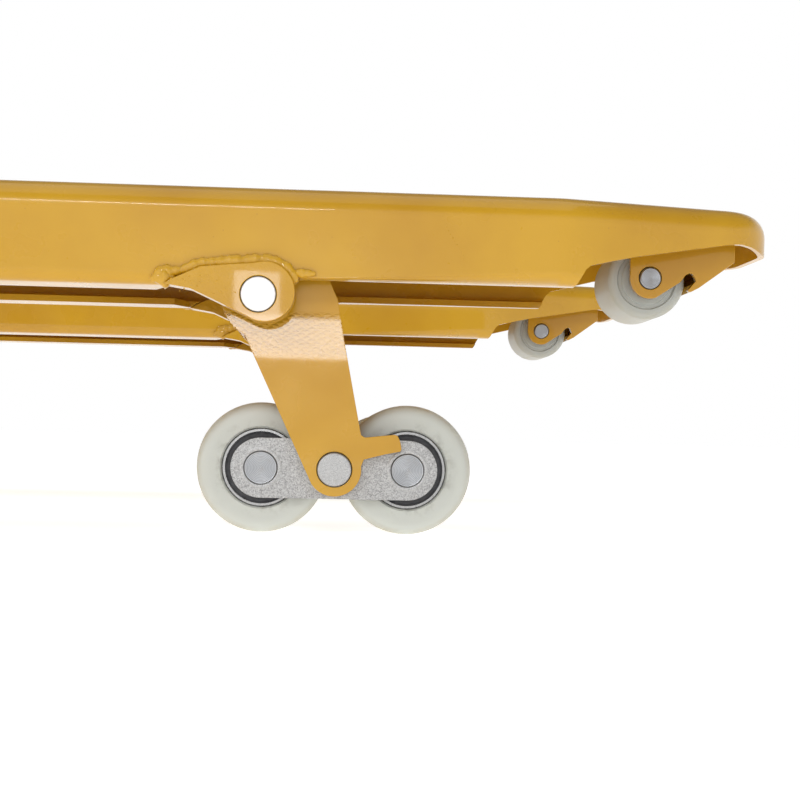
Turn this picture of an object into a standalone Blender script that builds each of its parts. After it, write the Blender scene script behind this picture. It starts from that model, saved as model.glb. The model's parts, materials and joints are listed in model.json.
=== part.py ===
"""Hand pallet truck, forks raised and handle upright. Metres, +Z up, fork tips towards +X.

Design coordinates have X = 0 on the steering axis, Y = 0 midway between the forks and
Z = 0 on the floor. One root empty then moves the truck so that the middle of its
footprint is the origin.
"""
import math

import bmesh
import bpy
from mathutils import Vector

# ---- Driving sizes -----------------------------------------------------------------------
FORK_LENGTH = 1.150         # heel front face to fork tip
HEEL_X = 0.200              # heel front face, from the steering axis
OVERALL_WIDTH = 0.600       # over the outer fork flanges
FORK_WIDTH = 0.160
FORK_WALL = 0.004
TOP_BEND = 0.015            # outside radius of the fork's upper edges
LIP_BEND = 0.008            # outside radius of the fork's lower edges
REAR_DEPTH = 0.058          # fork top to the lower lips behind the load arm
FRONT_DEPTH = 0.052         # the same in front of it
REAR_LIP = 0.032
FRONT_LIP = 0.014
LIFT = 0.115                # stroke of the forks
ROLLER_CLEARANCE = 0.003    # load roller to fork top plate, forks down

ROLLER_RADIUS = 0.039
ROLLER_WIDTH = 0.070
ROLLER_GAP = 0.009          # between the two load rollers of a bogie
BEARING_RADIUS = 0.0235
BEARING_WIDTH = 0.014
AXLE_RADIUS = 0.010         # roller axles, bogie pins and arm pivot shafts
LINK_PLATE = 0.006
LINK_HALF_HEIGHT = 0.0178
LINK_GAP = 0.003            # roller end face to link plate
ARM_PLATE = 0.008
ARM_GAP = 0.003             # link plate to arm plate
ARM_HUB_WALL = 0.006
BOGIE_SETBACK = 0.262       # fork tip to bogie pin, forks raised
PIVOT_AHEAD = 0.045         # arm pivot behind the bogie pin, forks raised
PIVOT_DROP = 0.0625         # fork top to arm pivot
EAR_LENGTH = 0.036          # arm pivot to push-rod pin
GUSSET_PLATE = 0.016
GUSSET_PROUD = 0.006        # gusset face outside the flange

ENTRY_RADIUS = 0.024
ENTRY_WIDTH = 0.048
ENTRY_SETBACK = 0.0727      # fork tip to entry roller axle
ENTRY_DROP = 0.0411         # fork top to entry roller axle
ENTRY_AXLE_RADIUS = 0.00675
ENTRY_PLATE = 0.004
ENTRY_BOSS = 0.0124
ENTRY_SIDE_GAP = 0.006      # roller end face to bracket cheek

ROD_RADIUS = 0.0065
ROD_PIN_RADIUS = 0.006
ROCKER_LEVER = 0.149        # rocker pivot to its crosshead pins
ROCKER_DIP = math.radians(15.0)     # rear lever below level, forks raised
ROCKER_TUBE_RADIUS = 0.017
LEVER_PLATE = 0.010
EAR_PLATE = 0.005
EYE_PLATE = 0.012           # eyes at the push rods' ends
EYE_WALL = 0.004
CROSSHEAD_PIN_X = 0.019
CROSSHEAD_PIN_Z = 0.190
LEVER_ROOT = 0.019          # half height of a rocker lever at the tube and at its pin
LEVER_END = 0.0095
LEVER_Y = 0.050             # rocker lever centre plane

STEER_WHEEL_RADIUS = 0.080
STEER_WHEEL_WIDTH = 0.050
STEER_WHEEL_Y = 0.055
TYRE_WALL = 0.018
NECK_RADIUS = 0.030
PUMP_RADIUS = 0.052
PUMP_TOP = 0.330
RAM_RADIUS = 0.015
RAM_DIP = 0.030             # ram length inside the pump, forks raised
RAM_HEADROOM = 0.004        # frame top plate to pump, forks down

FRAME_PLATE = 0.006
FRAME_TOP_PLATE = 0.008
FRAME_BACK_X = -0.030       # tail of the frame's top plate, over the ram
CHEEK_BACK_X = 0.050        # clear of the handle at full steer
FORK_BACK_X = 0.120
FRAME_SEAT = 0.0005         # step in the fork's top that the frame stands on

HANDLE_X = -0.105
HANDLE_Z = 0.262
HANDLE_HEIGHT = 1.200
HANDLE_PIN_RADIUS = 0.007
POLE_RADIUS = 0.017
LOOP_TUBE_RADIUS = 0.011
LOOP_HALF_WIDTH = 0.105
LOOP_HEIGHT = 0.200
PLUNGER_X = -0.070
PLUNGER_RADIUS = 0.008

GAP = 0.0003                # between touching pieces
FREE = 0.0006               # between a turning piece and what it turns on

# ---- Places that follow from the sizes ----------------------------------------------------
AXLE_Z = ROLLER_RADIUS
FORK_TOP = 2 * ROLLER_RADIUS + ROLLER_CLEARANCE + FORK_WALL + LIFT
PLATE_UNDER = FORK_TOP - FORK_WALL
FORK_Y = (OVERALL_WIDTH - FORK_WIDTH) / 2
FRAME_HALF_WIDTH = OVERALL_WIDTH / 2 - FORK_WIDTH + 0.013       # over the cheeks
TIP_X = HEEL_X + FORK_LENGTH
BOGIE_X = TIP_X - BOGIE_SETBACK
PIVOT_X = BOGIE_X - PIVOT_AHEAD
PIVOT_Z = FORK_TOP - PIVOT_DROP
ENTRY_X = TIP_X - ENTRY_SETBACK
ENTRY_Z = FORK_TOP - ENTRY_DROP
AXLE_SPACING = 2 * ROLLER_RADIUS + ROLLER_GAP

LINK_IN = ROLLER_WIDTH / 2 + LINK_GAP
LINK_OUT = LINK_IN + LINK_PLATE
ARM_IN = LINK_OUT + ARM_GAP
ARM_OUT = ARM_IN + ARM_PLATE
GUSSET_OUT = FORK_WIDTH / 2 + GUSSET_PROUD
ENTRY_IN = ENTRY_WIDTH / 2 + ENTRY_SIDE_GAP
ENTRY_OUT = ENTRY_IN + ENTRY_PLATE

ARM_LENGTH = math.hypot(PIVOT_AHEAD, PIVOT_Z - AXLE_Z)
ARM_SWING = (math.asin((PIVOT_Z - AXLE_Z) / ARM_LENGTH)
             + math.asin((AXLE_Z - PIVOT_Z + LIFT) / ARM_LENGTH))
ROD_TRAVEL = 2 * EAR_LENGTH * math.sin(ARM_SWING / 2)
EAR_X = PIVOT_X + ROD_TRAVEL / 2
EAR_Z = PIVOT_Z + EAR_LENGTH * math.cos(ARM_SWING / 2)

ROCKER_RISE = math.asin(LIFT / ROCKER_LEVER - math.sin(ROCKER_DIP))
ROCKER_SWING = ROCKER_DIP + ROCKER_RISE
ROCKER_X = CROSSHEAD_PIN_X + ROCKER_LEVER * math.cos(ROCKER_DIP)
ROCKER_Z = CROSSHEAD_PIN_Z + ROCKER_LEVER * math.sin(ROCKER_DIP)
ROCKER_EAR = ROD_TRAVEL / 2 / math.sin(ROCKER_SWING / 2)
EAR_IN = EYE_PLATE / 2 + 0.001
EAR_OUT = EAR_IN + EAR_PLATE
REAR_EYE_X = ROCKER_X + ROD_TRAVEL / 2
REAR_EYE_Z = ROCKER_Z - ROCKER_EAR * math.cos(ROCKER_SWING / 2)

FRAME_TOP = PUMP_TOP + RAM_HEADROOM + LIFT + FRAME_TOP_PLATE
FRAME_UNDER = FRAME_TOP - FRAME_TOP_PLATE
YOKE_RADIUS = 0.024
BACK_X = HANDLE_X - YOKE_RADIUS

FINE = 24                   # sides of a wheel or a ring
ROUND = 16                  # sides of an axle and its bore
COARSE = 12                 # sides of a small pin


# ---- Collections, materials and placing ---------------------------------------------------
for old in list(bpy.data.objects):
    bpy.data.objects.remove(old, do_unlink=True)


def new_collection(name):
    collection = bpy.data.collections.new(name)
    bpy.context.scene.collection.children.link(collection)
    return collection


PARTS = new_collection("hand_pallet_truck")
CUTTERS = new_collection("cutters")


def material(name, colour, roughness, metallic=0.0):
    new = bpy.data.materials.new(name)
    new.use_nodes = True
    shader = new.node_tree.nodes["Principled BSDF"]
    shader.inputs["Base Color"].default_value = (*colour, 1.0)
    shader.inputs["Roughness"].default_value = roughness
    shader.inputs["Metallic"].default_value = metallic
    return new


PAINT = material("orange_paint", (0.68, 0.36, 0.07), 0.35)
NYLON = material("white_nylon", (0.58, 0.60, 0.53), 0.55)
ZINC = material("zinc_plate", (0.55, 0.56, 0.56), 0.45, 1.0)
STEEL = material("ground_steel", (0.62, 0.62, 0.60), 0.28, 1.0)
SEAL = material("black_seal", (0.02, 0.02, 0.02), 0.60)
CHROME = material("chrome", (0.75, 0.75, 0.76), 0.12, 1.0)
RUBBER = material("grey_tyre", (0.10, 0.10, 0.10), 0.75)
CAST = material("painted_casting", (0.10, 0.10, 0.11), 0.50)


def axis(name, at, parent=None):
    """Empty on a joint's axis, at a place in design coordinates."""
    empty = bpy.data.objects.new(name, None)
    empty.empty_display_size = 0.03
    PARTS.objects.link(empty)
    empty["at"] = at
    empty.parent = parent
    base = Vector(parent["at"]) if parent else Vector()
    empty.location = Vector(at) - base
    return empty


def put(name, mesh, look, body, at, turn=(0.0, 0.0, 0.0), collection=PARTS):
    """Object for a mesh, at a place in design coordinates, carried by a body's empty."""
    obj = bpy.data.objects.new(name, mesh)
    collection.objects.link(obj)
    obj.parent = body
    obj.location = Vector(at) - Vector(body["at"])
    obj.rotation_euler = turn
    if look and not mesh.materials:
        mesh.materials.append(look)
    return obj


def smooth(mesh, angle=40.0):
    mesh.shade_smooth()
    mesh.set_sharp_from_angle(angle=math.radians(angle))


UPRIGHT = (math.pi / 2, 0.0, 0.0)       # local XY becomes XZ, thickness along Y
ACROSS = (-math.pi / 2, 0.0, 0.0)       # local +Z becomes +Y


# ---- Outlines -----------------------------------------------------------------------------
def arc(centre, radius, start, end, steps):
    """Points on an arc, angles in degrees."""
    points = []
    for step in range(steps + 1):
        angle = math.radians(start + (end - start) * step / steps)
        points.append((centre[0] + radius * math.cos(angle), centre[1] + radius * math.sin(angle)))
    return points


def circle(centre, radius, steps=ROUND):
    return arc(centre, radius, 0, 360, steps)[:-1]


def stadium(first, second, radius, steps=6):
    """Two equal round ends, joined by straight sides."""
    angle = math.degrees(math.atan2(second[1] - first[1], second[0] - first[0]))
    ends = arc(first, radius, angle + 90, angle + 270, steps)
    return ends + arc(second, radius, angle - 90, angle + 90, steps)


def mirrored(half):
    """Closed outline from its upper half, mirrored in the X axis."""
    return half + [(x, -y) for x, y in reversed(half)]


def grown(loop, distance):
    """Counter-clockwise outline moved outwards by a distance at each corner."""
    points = []
    for index, point in enumerate(loop):
        before = Vector(point) - Vector(loop[index - 1])
        after = Vector(loop[(index + 1) % len(loop)]) - Vector(point)
        first = Vector((before.y, -before.x)).normalized()
        second = Vector((after.y, -after.x)).normalized()
        out = first + second
        out *= distance / max(0.25, 0.5 * out.length_squared)
        points.append((point[0] + out.x, point[1] + out.y))
    return points


def box_loop(low_x, high_x, low_y, high_y):
    return [(low_x, low_y), (high_x, low_y), (high_x, high_y), (low_x, high_y)]


# ---- Meshes -------------------------------------------------------------------------------
def plate_mesh(name, loops, thickness):
    """Flat outline and its holes in local XY, with its thickness centred on Z = 0."""
    curve = bpy.data.curves.new(name, "CURVE")
    curve.dimensions = "2D"
    curve.fill_mode = "BOTH"
    curve.extrude = thickness / 2
    for loop in loops:
        spline = curve.splines.new("POLY")
        spline.points.add(len(loop) - 1)
        for point, (x, y) in zip(spline.points, loop):
            point.co = (x, y, 0.0, 1.0)
        spline.use_cyclic_u = True
    return mesh_from_curve(name, curve)


def tube_mesh(name, points, radius, sides=10, closed=False, resolution=1):
    """Round bar or tube along a smooth or straight path."""
    curve = bpy.data.curves.new(name, "CURVE")
    curve.dimensions = "3D"
    curve.bevel_depth = radius
    curve.bevel_resolution = sides // 2 - 1
    curve.use_fill_caps = not closed
    spline = curve.splines.new("POLY")
    spline.points.add(len(points) - 1)
    for point, place in zip(spline.points, points):
        point.co = (*place, 1.0)
    spline.use_cyclic_u = closed
    spline.use_smooth = resolution > 0
    return mesh_from_curve(name, curve)


def mesh_from_curve(name, curve):
    guide = bpy.data.objects.new(name + "_curve", curve)
    CUTTERS.objects.link(guide)
    graph = bpy.context.evaluated_depsgraph_get()
    mesh = bpy.data.meshes.new_from_object(guide.evaluated_get(graph))
    mesh.name = name
    bpy.data.objects.remove(guide)
    bpy.data.curves.remove(curve)
    shell = bmesh.new()
    shell.from_mesh(mesh)
    bmesh.ops.remove_doubles(shell, verts=shell.verts, dist=1e-6)
    bmesh.ops.recalc_face_normals(shell, faces=shell.faces)
    shell.to_mesh(mesh)
    shell.free()
    smooth(mesh)
    return mesh


def turned_mesh(name, profile, steps=COARSE, ring=False):
    """Profile of (radius, height) points, top to bottom down its outer side, turned about Z."""
    mesh = bpy.data.meshes.new(name + "_profile")
    edges = [(index, index + 1) for index in range(len(profile) - 1)]
    if ring:
        edges.append((len(profile) - 1, 0))
    mesh.from_pydata([(radius, 0.0, height) for radius, height in profile], edges, [])
    guide = bpy.data.objects.new(name + "_profile", mesh)
    CUTTERS.objects.link(guide)
    screw = guide.modifiers.new("turn", "SCREW")
    screw.steps = steps
    screw.render_steps = steps
    screw.use_merge_vertices = True
    screw.merge_threshold = 0.00001
    screw.use_smooth_shade = True
    graph = bpy.context.evaluated_depsgraph_get()
    done = bpy.data.meshes.new_from_object(guide.evaluated_get(graph))
    done.name = name
    bpy.data.objects.remove(guide)
    bpy.data.meshes.remove(mesh)
    smooth(done)
    return done


def pin_mesh(name, radius, half_length, chamfer=0.001, steps=COARSE):
    """Round pin along local Z, its ends chamfered."""
    rim = radius - chamfer
    profile = [(0.0, half_length), (rim, half_length), (radius, half_length - chamfer),
               (radius, chamfer - half_length), (rim, -half_length), (0.0, -half_length)]
    return turned_mesh(name, profile, steps)


def drill_mesh(name, radius, half_length, steps=COARSE):
    """Plain cylinder along local Z that cuts a bore."""
    profile = [(0.0, half_length), (radius, half_length), (radius, -half_length),
               (0.0, -half_length)]
    return turned_mesh(name, profile, steps)


# ---- Booleans -----------------------------------------------------------------------------
def tool(name, mesh, body, at, turn=(0.0, 0.0, 0.0)):
    """Solid that only cuts or joins another one."""
    obj = put(name, mesh, None, body, at, turn, CUTTERS)
    obj.hide_render = True
    obj.display_type = "WIRE"
    return obj


def combine(obj, other, operation):
    step = obj.modifiers.new(other.name, "BOOLEAN")
    step.operation = operation
    step.object = other
    step.solver = "EXACT"


def cut(obj, other):
    combine(obj, other, "DIFFERENCE")


def join(obj, other):
    combine(obj, other, "UNION")


# ---- Bodies -------------------------------------------------------------------------------
ROOT = axis("truck", (0.0, 0.0, 0.0))
STEER = axis("steer_axis", (0.0, 0.0, CROSSHEAD_PIN_Z), ROOT)
FORKS = axis("lift_axis", (0.0, 0.0, FORK_TOP), ROOT)
ROCKER = axis("rocker_axis", (ROCKER_X, 0.0, ROCKER_Z), FORKS)
HANDLE = axis("handle_axis", (HANDLE_X, 0.0, HANDLE_Z), STEER)
SIDES = (("right", -1), ("left", 1))
FLANKS = (("inner", -1), ("outer", 1))
ENDS = (("rear", -1), ("front", 1))


# ---- Forks --------------------------------------------------------------------------------
STEP_X = PIVOT_X + 0.021        # lower edge steps up here, inside the gusset notch
NOSE_RADIUS = 0.035
NOSE_HALF = 0.055
TAPER_LENGTH = 0.127


def fork_half_outline(back_x, inset):
    """Upper half of a fork seen from above, about its own centre line."""
    nose = (TIP_X - NOSE_RADIUS, NOSE_HALF - NOSE_RADIUS)
    half = FORK_WIDTH / 2 - inset
    front = arc(nose, NOSE_RADIUS - inset, 0, 84, 5)
    return front + [(TIP_X - TAPER_LENGTH, half), (back_x, half)]


def fork_block(name, back_x, inset, top, drop, bends):
    """Fork-shaped solid with its long edges rounded and its lower face stepped."""
    outline = mirrored(fork_half_outline(back_x, inset))
    bottom = FORK_TOP - REAR_DEPTH + drop
    mesh = plate_mesh(name, [outline], top - bottom)
    block = bmesh.new()
    block.from_mesh(mesh)
    bmesh.ops.dissolve_limit(block, angle_limit=0.01, verts=block.verts, edges=block.edges)
    for cut_x in (STEP_X, STEP_X + 0.002):
        geometry = block.verts[:] + block.edges[:] + block.faces[:]
        bmesh.ops.bisect_plane(block, geom=geometry, plane_co=(cut_x, 0, 0), plane_no=(1, 0, 0))
    half = (top - bottom) / 2
    for vert in block.verts:
        if vert.co.z < 0 and vert.co.x > STEP_X + 0.001:
            vert.co.z += REAR_DEPTH - FRONT_DEPTH
    for low, radius, steps in ((False, bends[0], 3), (True, bends[1], 2)):
        rim = [edge for edge in block.edges if on_rim(edge, half, low, back_x)]
        bmesh.ops.bevel(block, geom=rim, offset=radius, segments=steps, profile=0.5,
                        affect="EDGES", clamp_overlap=False)
    bmesh.ops.recalc_face_normals(block, faces=block.faces)
    block.to_mesh(mesh)
    block.free()
    smooth(mesh)
    return mesh, (top + bottom) / 2


def on_rim(edge, half, low, back_x):
    """True for the edges between the upper or lower face and the upright sides."""
    first, second = (vert.co for vert in edge.verts)
    at_level = all((co.z < -half / 3) if low else (co.z > half - 1e-5) for co in (first, second))
    if not at_level or abs(first.z - second.z) > 0.01:
        return False
    upright = [face for face in edge.link_faces if abs(face.normal.z) < 0.5]
    flat = [face for face in edge.link_faces if abs(face.normal.z) >= 0.5]
    at_back = first.x < back_x + 1e-5 and second.x < back_x + 1e-5
    return len(upright) == 1 and len(flat) == 1 and not at_back


def tip_cut_outline():
    """Everything below the fork's rising lower edge near its tip, seen from the side."""
    bow = [(0.1266, 0.053), (0.1231, 0.0487), (0.1206, 0.0441), (0.1167, 0.040),
           (0.0885, 0.0329), (0.0416, 0.0244), (0.024, 0.0216), (0.0145, 0.0227),
           (0.0057, 0.0259), (-0.010, 0.0262)]
    edge = [(TIP_X - back, FORK_TOP - down) for back, down in bow]
    low = FORK_TOP - 1.5 * REAR_DEPTH
    return [(edge[0][0], low), (edge[-1][0], low)] + list(reversed(edge))


def lip_slot_outline():
    """Opening between the lips under a fork, seen from above."""
    rear = FORK_WIDTH / 2 - REAR_LIP
    front = FORK_WIDTH / 2 - FRONT_LIP
    lip_end = PIVOT_X - 0.061
    half = [(TIP_X - TAPER_LENGTH + 0.010, front), (lip_end + 0.008, front), (lip_end, rear),
            (FORK_BACK_X - 0.010, rear)]
    return mirrored(half)


def gusset_outline():
    """Teardrop round the arm pivot, its tail towards the heel."""
    boss = arc((PIVOT_X + 0.0035, PIVOT_Z + 0.0015), 0.017, -110, 110, 12)
    tail = [(-0.0187, 0.0161), (-0.0326, 0.0146), (-0.048, 0.0075), (-0.0529, 0.0045),
            (-0.0379, 0.0021), (-0.0239, -0.0042)]
    return boss + [(PIVOT_X + x, PIVOT_Z + z) for x, z in tail]


def about(loop, x, z):
    """Side outline moved so that a place becomes its local origin."""
    return [(px - x, pz - z) for px, pz in loop]


def build_fork(side, sign):
    centre = sign * FORK_Y
    outer, middle = fork_block("fork_" + side, FORK_BACK_X, 0.0, FORK_TOP, 0.0,
                               (TOP_BEND, LIP_BEND))
    fork = put("fork_" + side, outer, PAINT, FORKS, (0.0, centre, middle))
    inner, inner_middle = fork_block("hollow_" + side, FORK_BACK_X - 0.010, FORK_WALL,
                                     PLATE_UNDER, FORK_WALL,
                                     (TOP_BEND - FORK_WALL, LIP_BEND - FORK_WALL))
    cut(fork, tool("hollow_" + side, inner, FORKS, (0.0, centre, inner_middle)))
    slot = plate_mesh("lip_slot_" + side, [lip_slot_outline()], REAR_DEPTH)
    cut(fork, tool("lip_slot_" + side, slot, FORKS, (0.0, centre, FORK_TOP - REAR_DEPTH)))
    tip = plate_mesh("tip_cut_" + side, [tip_cut_outline()], FORK_WIDTH + 0.020)
    cut(fork, tool("tip_cut_" + side, tip, FORKS, (0.0, centre, 0.0), UPRIGHT))
    notch = grown(about(gusset_outline(), PIVOT_X, PIVOT_Z), GAP)
    mesh = plate_mesh("gusset_notch_" + side, [notch], FORK_WIDTH + 0.020)
    pocket = tool("gusset_notch_" + side, mesh, FORKS, (PIVOT_X, centre, PIVOT_Z), UPRIGHT)
    cut(fork, pocket)
    rocker_slot = box_loop(FORK_BACK_X - 0.010, ROCKER_X + 0.035, -EAR_OUT - 0.003,
                           EAR_OUT + 0.003)
    mesh = plate_mesh("rocker_slot_" + side, [rocker_slot], 0.030)
    cut(fork, tool("rocker_slot_" + side, mesh, FORKS, (0.0, centre, FORK_TOP)))
    seat = box_loop(FORK_BACK_X - 0.010, HEEL_X + 0.001, -FORK_WIDTH, FORK_WIDTH)
    mesh = plate_mesh("frame_seat_" + side, [seat], 2 * FRAME_SEAT)
    cut(fork, tool("frame_seat_" + side, mesh, FORKS, (0.0, centre, FORK_TOP)))


def build_gussets(side, sign):
    bore = circle((0.0, 0.0), AXLE_RADIUS + GAP)
    loops = [about(gusset_outline(), PIVOT_X, PIVOT_Z), bore]
    mesh = plate_mesh("pivot_gusset", loops, GUSSET_PLATE)
    for flank, way in FLANKS:
        y = sign * (FORK_Y + way * (GUSSET_OUT - GUSSET_PLATE / 2))
        put(f"pivot_gusset_{side}_{flank}", mesh, PAINT, FORKS, (PIVOT_X, y, PIVOT_Z), UPRIGHT)
    shaft = pin_mesh("arm_pivot_shaft", AXLE_RADIUS, GUSSET_OUT - 0.0005, steps=ROUND)
    put("arm_pivot_shaft_" + side, shaft, ZINC, FORKS, (PIVOT_X, sign * FORK_Y, PIVOT_Z), ACROSS)


# ---- Entry rollers ------------------------------------------------------------------------
def entry_outline():
    """Side of the folded bracket: a boss round the axle, a notch and a ramp to the nose."""
    top = PLATE_UNDER - GAP - ENTRY_Z
    web = ENTRY_RADIUS + 0.0028
    boss = arc((0.0, 0.0), ENTRY_BOSS, 180, 285, 6)
    notch = [(web - 0.0082, -0.0025), (web - 0.0043, 0.0025), (web - 0.0006, 0.0032),
             (web + 0.0013, -0.0010), (web - 0.0034, -0.0072), (web - 0.0016, -0.0075)]
    ramp = [(web + 0.0033, -0.0052), (web + 0.0252, 0.0110), (web + 0.0252, top)]
    return [(-ENTRY_BOSS, top)] + boss + notch + ramp


def entry_hollow_outline():
    """Space between the bracket's cheeks, open below the roller and above the folded web."""
    top = PLATE_UNDER - ENTRY_Z + 0.010
    web, low, back = ENTRY_RADIUS + 0.0028, -0.030, -0.030
    ramp = [(web, low), (web, -0.0027), (web + 0.0228, 0.0142), (web + 0.0228, top)]
    return [(back, top), (back, low)] + ramp


def build_entry_roller(side, sign):
    body = axis(f"entry_roller_axis_{side}", (ENTRY_X, sign * FORK_Y, ENTRY_Z), FORKS)
    place = (ENTRY_X, sign * FORK_Y, ENTRY_Z)
    bracket = put("entry_bracket_" + side, plate_mesh("entry_bracket_" + side,
                  [entry_outline()], 2 * ENTRY_OUT), PAINT, FORKS, place, UPRIGHT)
    hollow = plate_mesh("entry_hollow_" + side, [entry_hollow_outline()], 2 * ENTRY_IN)
    cut(bracket, tool("entry_hollow_" + side, hollow, FORKS, place, UPRIGHT))
    bore = drill_mesh("entry_bore_" + side, ENTRY_AXLE_RADIUS + GAP, ENTRY_OUT + 0.010)
    cut(bracket, tool("entry_bore_" + side, bore, FORKS, place, ACROSS))
    axle = pin_mesh("entry_axle_" + side, ENTRY_AXLE_RADIUS, ENTRY_OUT + 0.001)
    put("entry_axle_" + side, axle, ZINC, FORKS, place, ACROSS)
    half, rim = ENTRY_WIDTH / 2, 0.002
    bore_radius = ENTRY_AXLE_RADIUS + FREE
    profile = [(bore_radius, half), (ENTRY_RADIUS - rim, half), (ENTRY_RADIUS, half - rim),
               (ENTRY_RADIUS, rim - half), (ENTRY_RADIUS - rim, -half), (bore_radius, -half)]
    roller = turned_mesh("entry_roller_" + side, profile, FINE, ring=True)
    put("entry_roller_" + side, roller, NYLON, body, place, ACROSS)


# ---- Load arms, bogies and load rollers ---------------------------------------------------
def arm_outline():
    """Arm side plate, forks raised: bogie pin eye, stop finger, push-rod ear, pivot boss."""
    foot = arc((BOGIE_X, AXLE_Z), 0.0158, 215, 365, 8)
    finger = [(0.0161, 0.0060), (0.0295, 0.0095), (0.0393, 0.0115), (0.0391, 0.0144),
              (0.0382, 0.0179), (0.0369, 0.0205), (0.0351, 0.0213), (0.0147, 0.0188)]
    spine = [(0.0497, -0.0255), (0.045, 0.0007)]
    boss = arc((PIVOT_X, PIVOT_Z), 0.0225, 150, 248, 6)
    return (foot + [(BOGIE_X + x, AXLE_Z + z) for x, z in finger]
            + [(PIVOT_X + x, PIVOT_Z + z) for x, z in spine]
            + arc((EAR_X, EAR_Z), 0.0125, -15, 160, 8) + boss)


def build_arm(side, sign):
    centre = sign * FORK_Y
    arm_axis = axis("arm_axis_" + side, (PIVOT_X, centre, PIVOT_Z), FORKS)
    pivot = (PIVOT_X, centre, PIVOT_Z)
    loops = [about(arm_outline(), PIVOT_X, PIVOT_Z),
             circle((0.0, 0.0), AXLE_RADIUS + FREE),
             circle((BOGIE_X - PIVOT_X, AXLE_Z - PIVOT_Z), AXLE_RADIUS + GAP),
             circle((EAR_X - PIVOT_X, EAR_Z - PIVOT_Z), ROD_PIN_RADIUS + GAP, COARSE)]
    middle = (ARM_IN + ARM_OUT) / 2
    turn = (math.pi / 2, 0.0, 0.0)
    arm = put("load_arm_" + side, plate_mesh("load_arm_" + side, loops, ARM_PLATE), PAINT,
              arm_axis, (PIVOT_X, centre - middle, PIVOT_Z), turn)
    other = plate_mesh("arm_plate_" + side, loops, ARM_PLATE)
    hub_in, hub_out, half = AXLE_RADIUS + FREE, AXLE_RADIUS + ARM_HUB_WALL, ARM_IN + 0.002
    hub = turned_mesh("arm_hub_" + side, [(hub_in + 0.001, half), (hub_out, half),
                      (hub_out, -half), (hub_in + 0.001, -half)], ROUND, ring=True)
    join(arm, tool("arm_hub_" + side, hub, arm_axis, pivot, ACROSS))
    join(arm, tool("arm_plate_" + side, other, arm_axis, (PIVOT_X, centre + middle, PIVOT_Z),
                   turn))
    rod_pin = pin_mesh("rod_pin_" + side, ROD_PIN_RADIUS, ARM_OUT + 0.002)
    put("rod_pin_" + side, rod_pin, ZINC, arm_axis, (EAR_X, centre, EAR_Z), ACROSS)
    build_bogie(side, sign, arm_axis)


def build_bogie(side, sign, arm_axis):
    centre = sign * FORK_Y
    bogie = axis("bogie_axis_" + side, (BOGIE_X, centre, AXLE_Z), arm_axis)
    half = AXLE_SPACING / 2
    hole = AXLE_RADIUS + GAP
    loops = [stadium((-half, 0.0), (half, 0.0), LINK_HALF_HEIGHT, 8),
             circle((-half, 0.0), hole), circle((0.0, 0.0), hole + GAP), circle((half, 0.0), hole)]
    plate = plate_mesh("bogie_link_plate", loops, LINK_PLATE)
    stub_half = (ARM_OUT + 0.0015 - LINK_IN) / 2
    stub = pin_mesh("bogie_stub", AXLE_RADIUS, stub_half, steps=ROUND)
    for flank, way in FLANKS:
        y = centre + sign * way * (LINK_IN + LINK_PLATE / 2)
        put(f"link_plate_{side}_{flank}", plate, ZINC, bogie, (BOGIE_X, y, AXLE_Z), UPRIGHT)
        y = centre + sign * way * (LINK_IN + stub_half)
        put(f"bogie_pin_{side}_{flank}", stub, ZINC, arm_axis, (BOGIE_X, y, AXLE_Z), ACROSS)
    axle = pin_mesh("load_axle", AXLE_RADIUS, LINK_OUT + 0.001, steps=ROUND)
    for end, way in ENDS:
        place = (BOGIE_X + way * half, centre, AXLE_Z)
        put(f"load_axle_{side}_{end}", axle, STEEL, bogie, place, ACROSS)
        build_load_roller(f"{side}_{end}", place, bogie)


def build_load_roller(name, place, bogie):
    spin = axis("roller_axis_" + name, place, bogie)
    half, seat, land = ROLLER_WIDTH / 2, BEARING_RADIUS + GAP, AXLE_RADIUS + 0.006
    depth = half - BEARING_WIDTH - 2 * GAP
    worn = arc((ROLLER_RADIUS - 0.006, half - 0.006), 0.006, 90, 0, 2)
    outer = worn + [(radius, -height) for radius, height in reversed(worn)]
    inner = [(seat, -half), (seat, -depth), (land, -depth), (land, depth), (seat, depth),
             (seat, half)]
    roller = turned_mesh("load_roller", outer + inner, FINE, ring=True)
    put("load_roller_" + name, roller, NYLON, spin, place, ACROSS)
    spacer, inside, end = land - GAP, AXLE_RADIUS + FREE, half - GAP
    top = [(inside, end), (BEARING_RADIUS, end), (BEARING_RADIUS, depth + GAP),
           (spacer, depth + GAP)]
    profile = top + [(radius, -height) for radius, height in reversed(top)]
    bearings = turned_mesh("bearing_pair", profile, ROUND, ring=True)
    put("bearing_pair_" + name, bearings, SEAL, spin, place, ACROSS)


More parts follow.
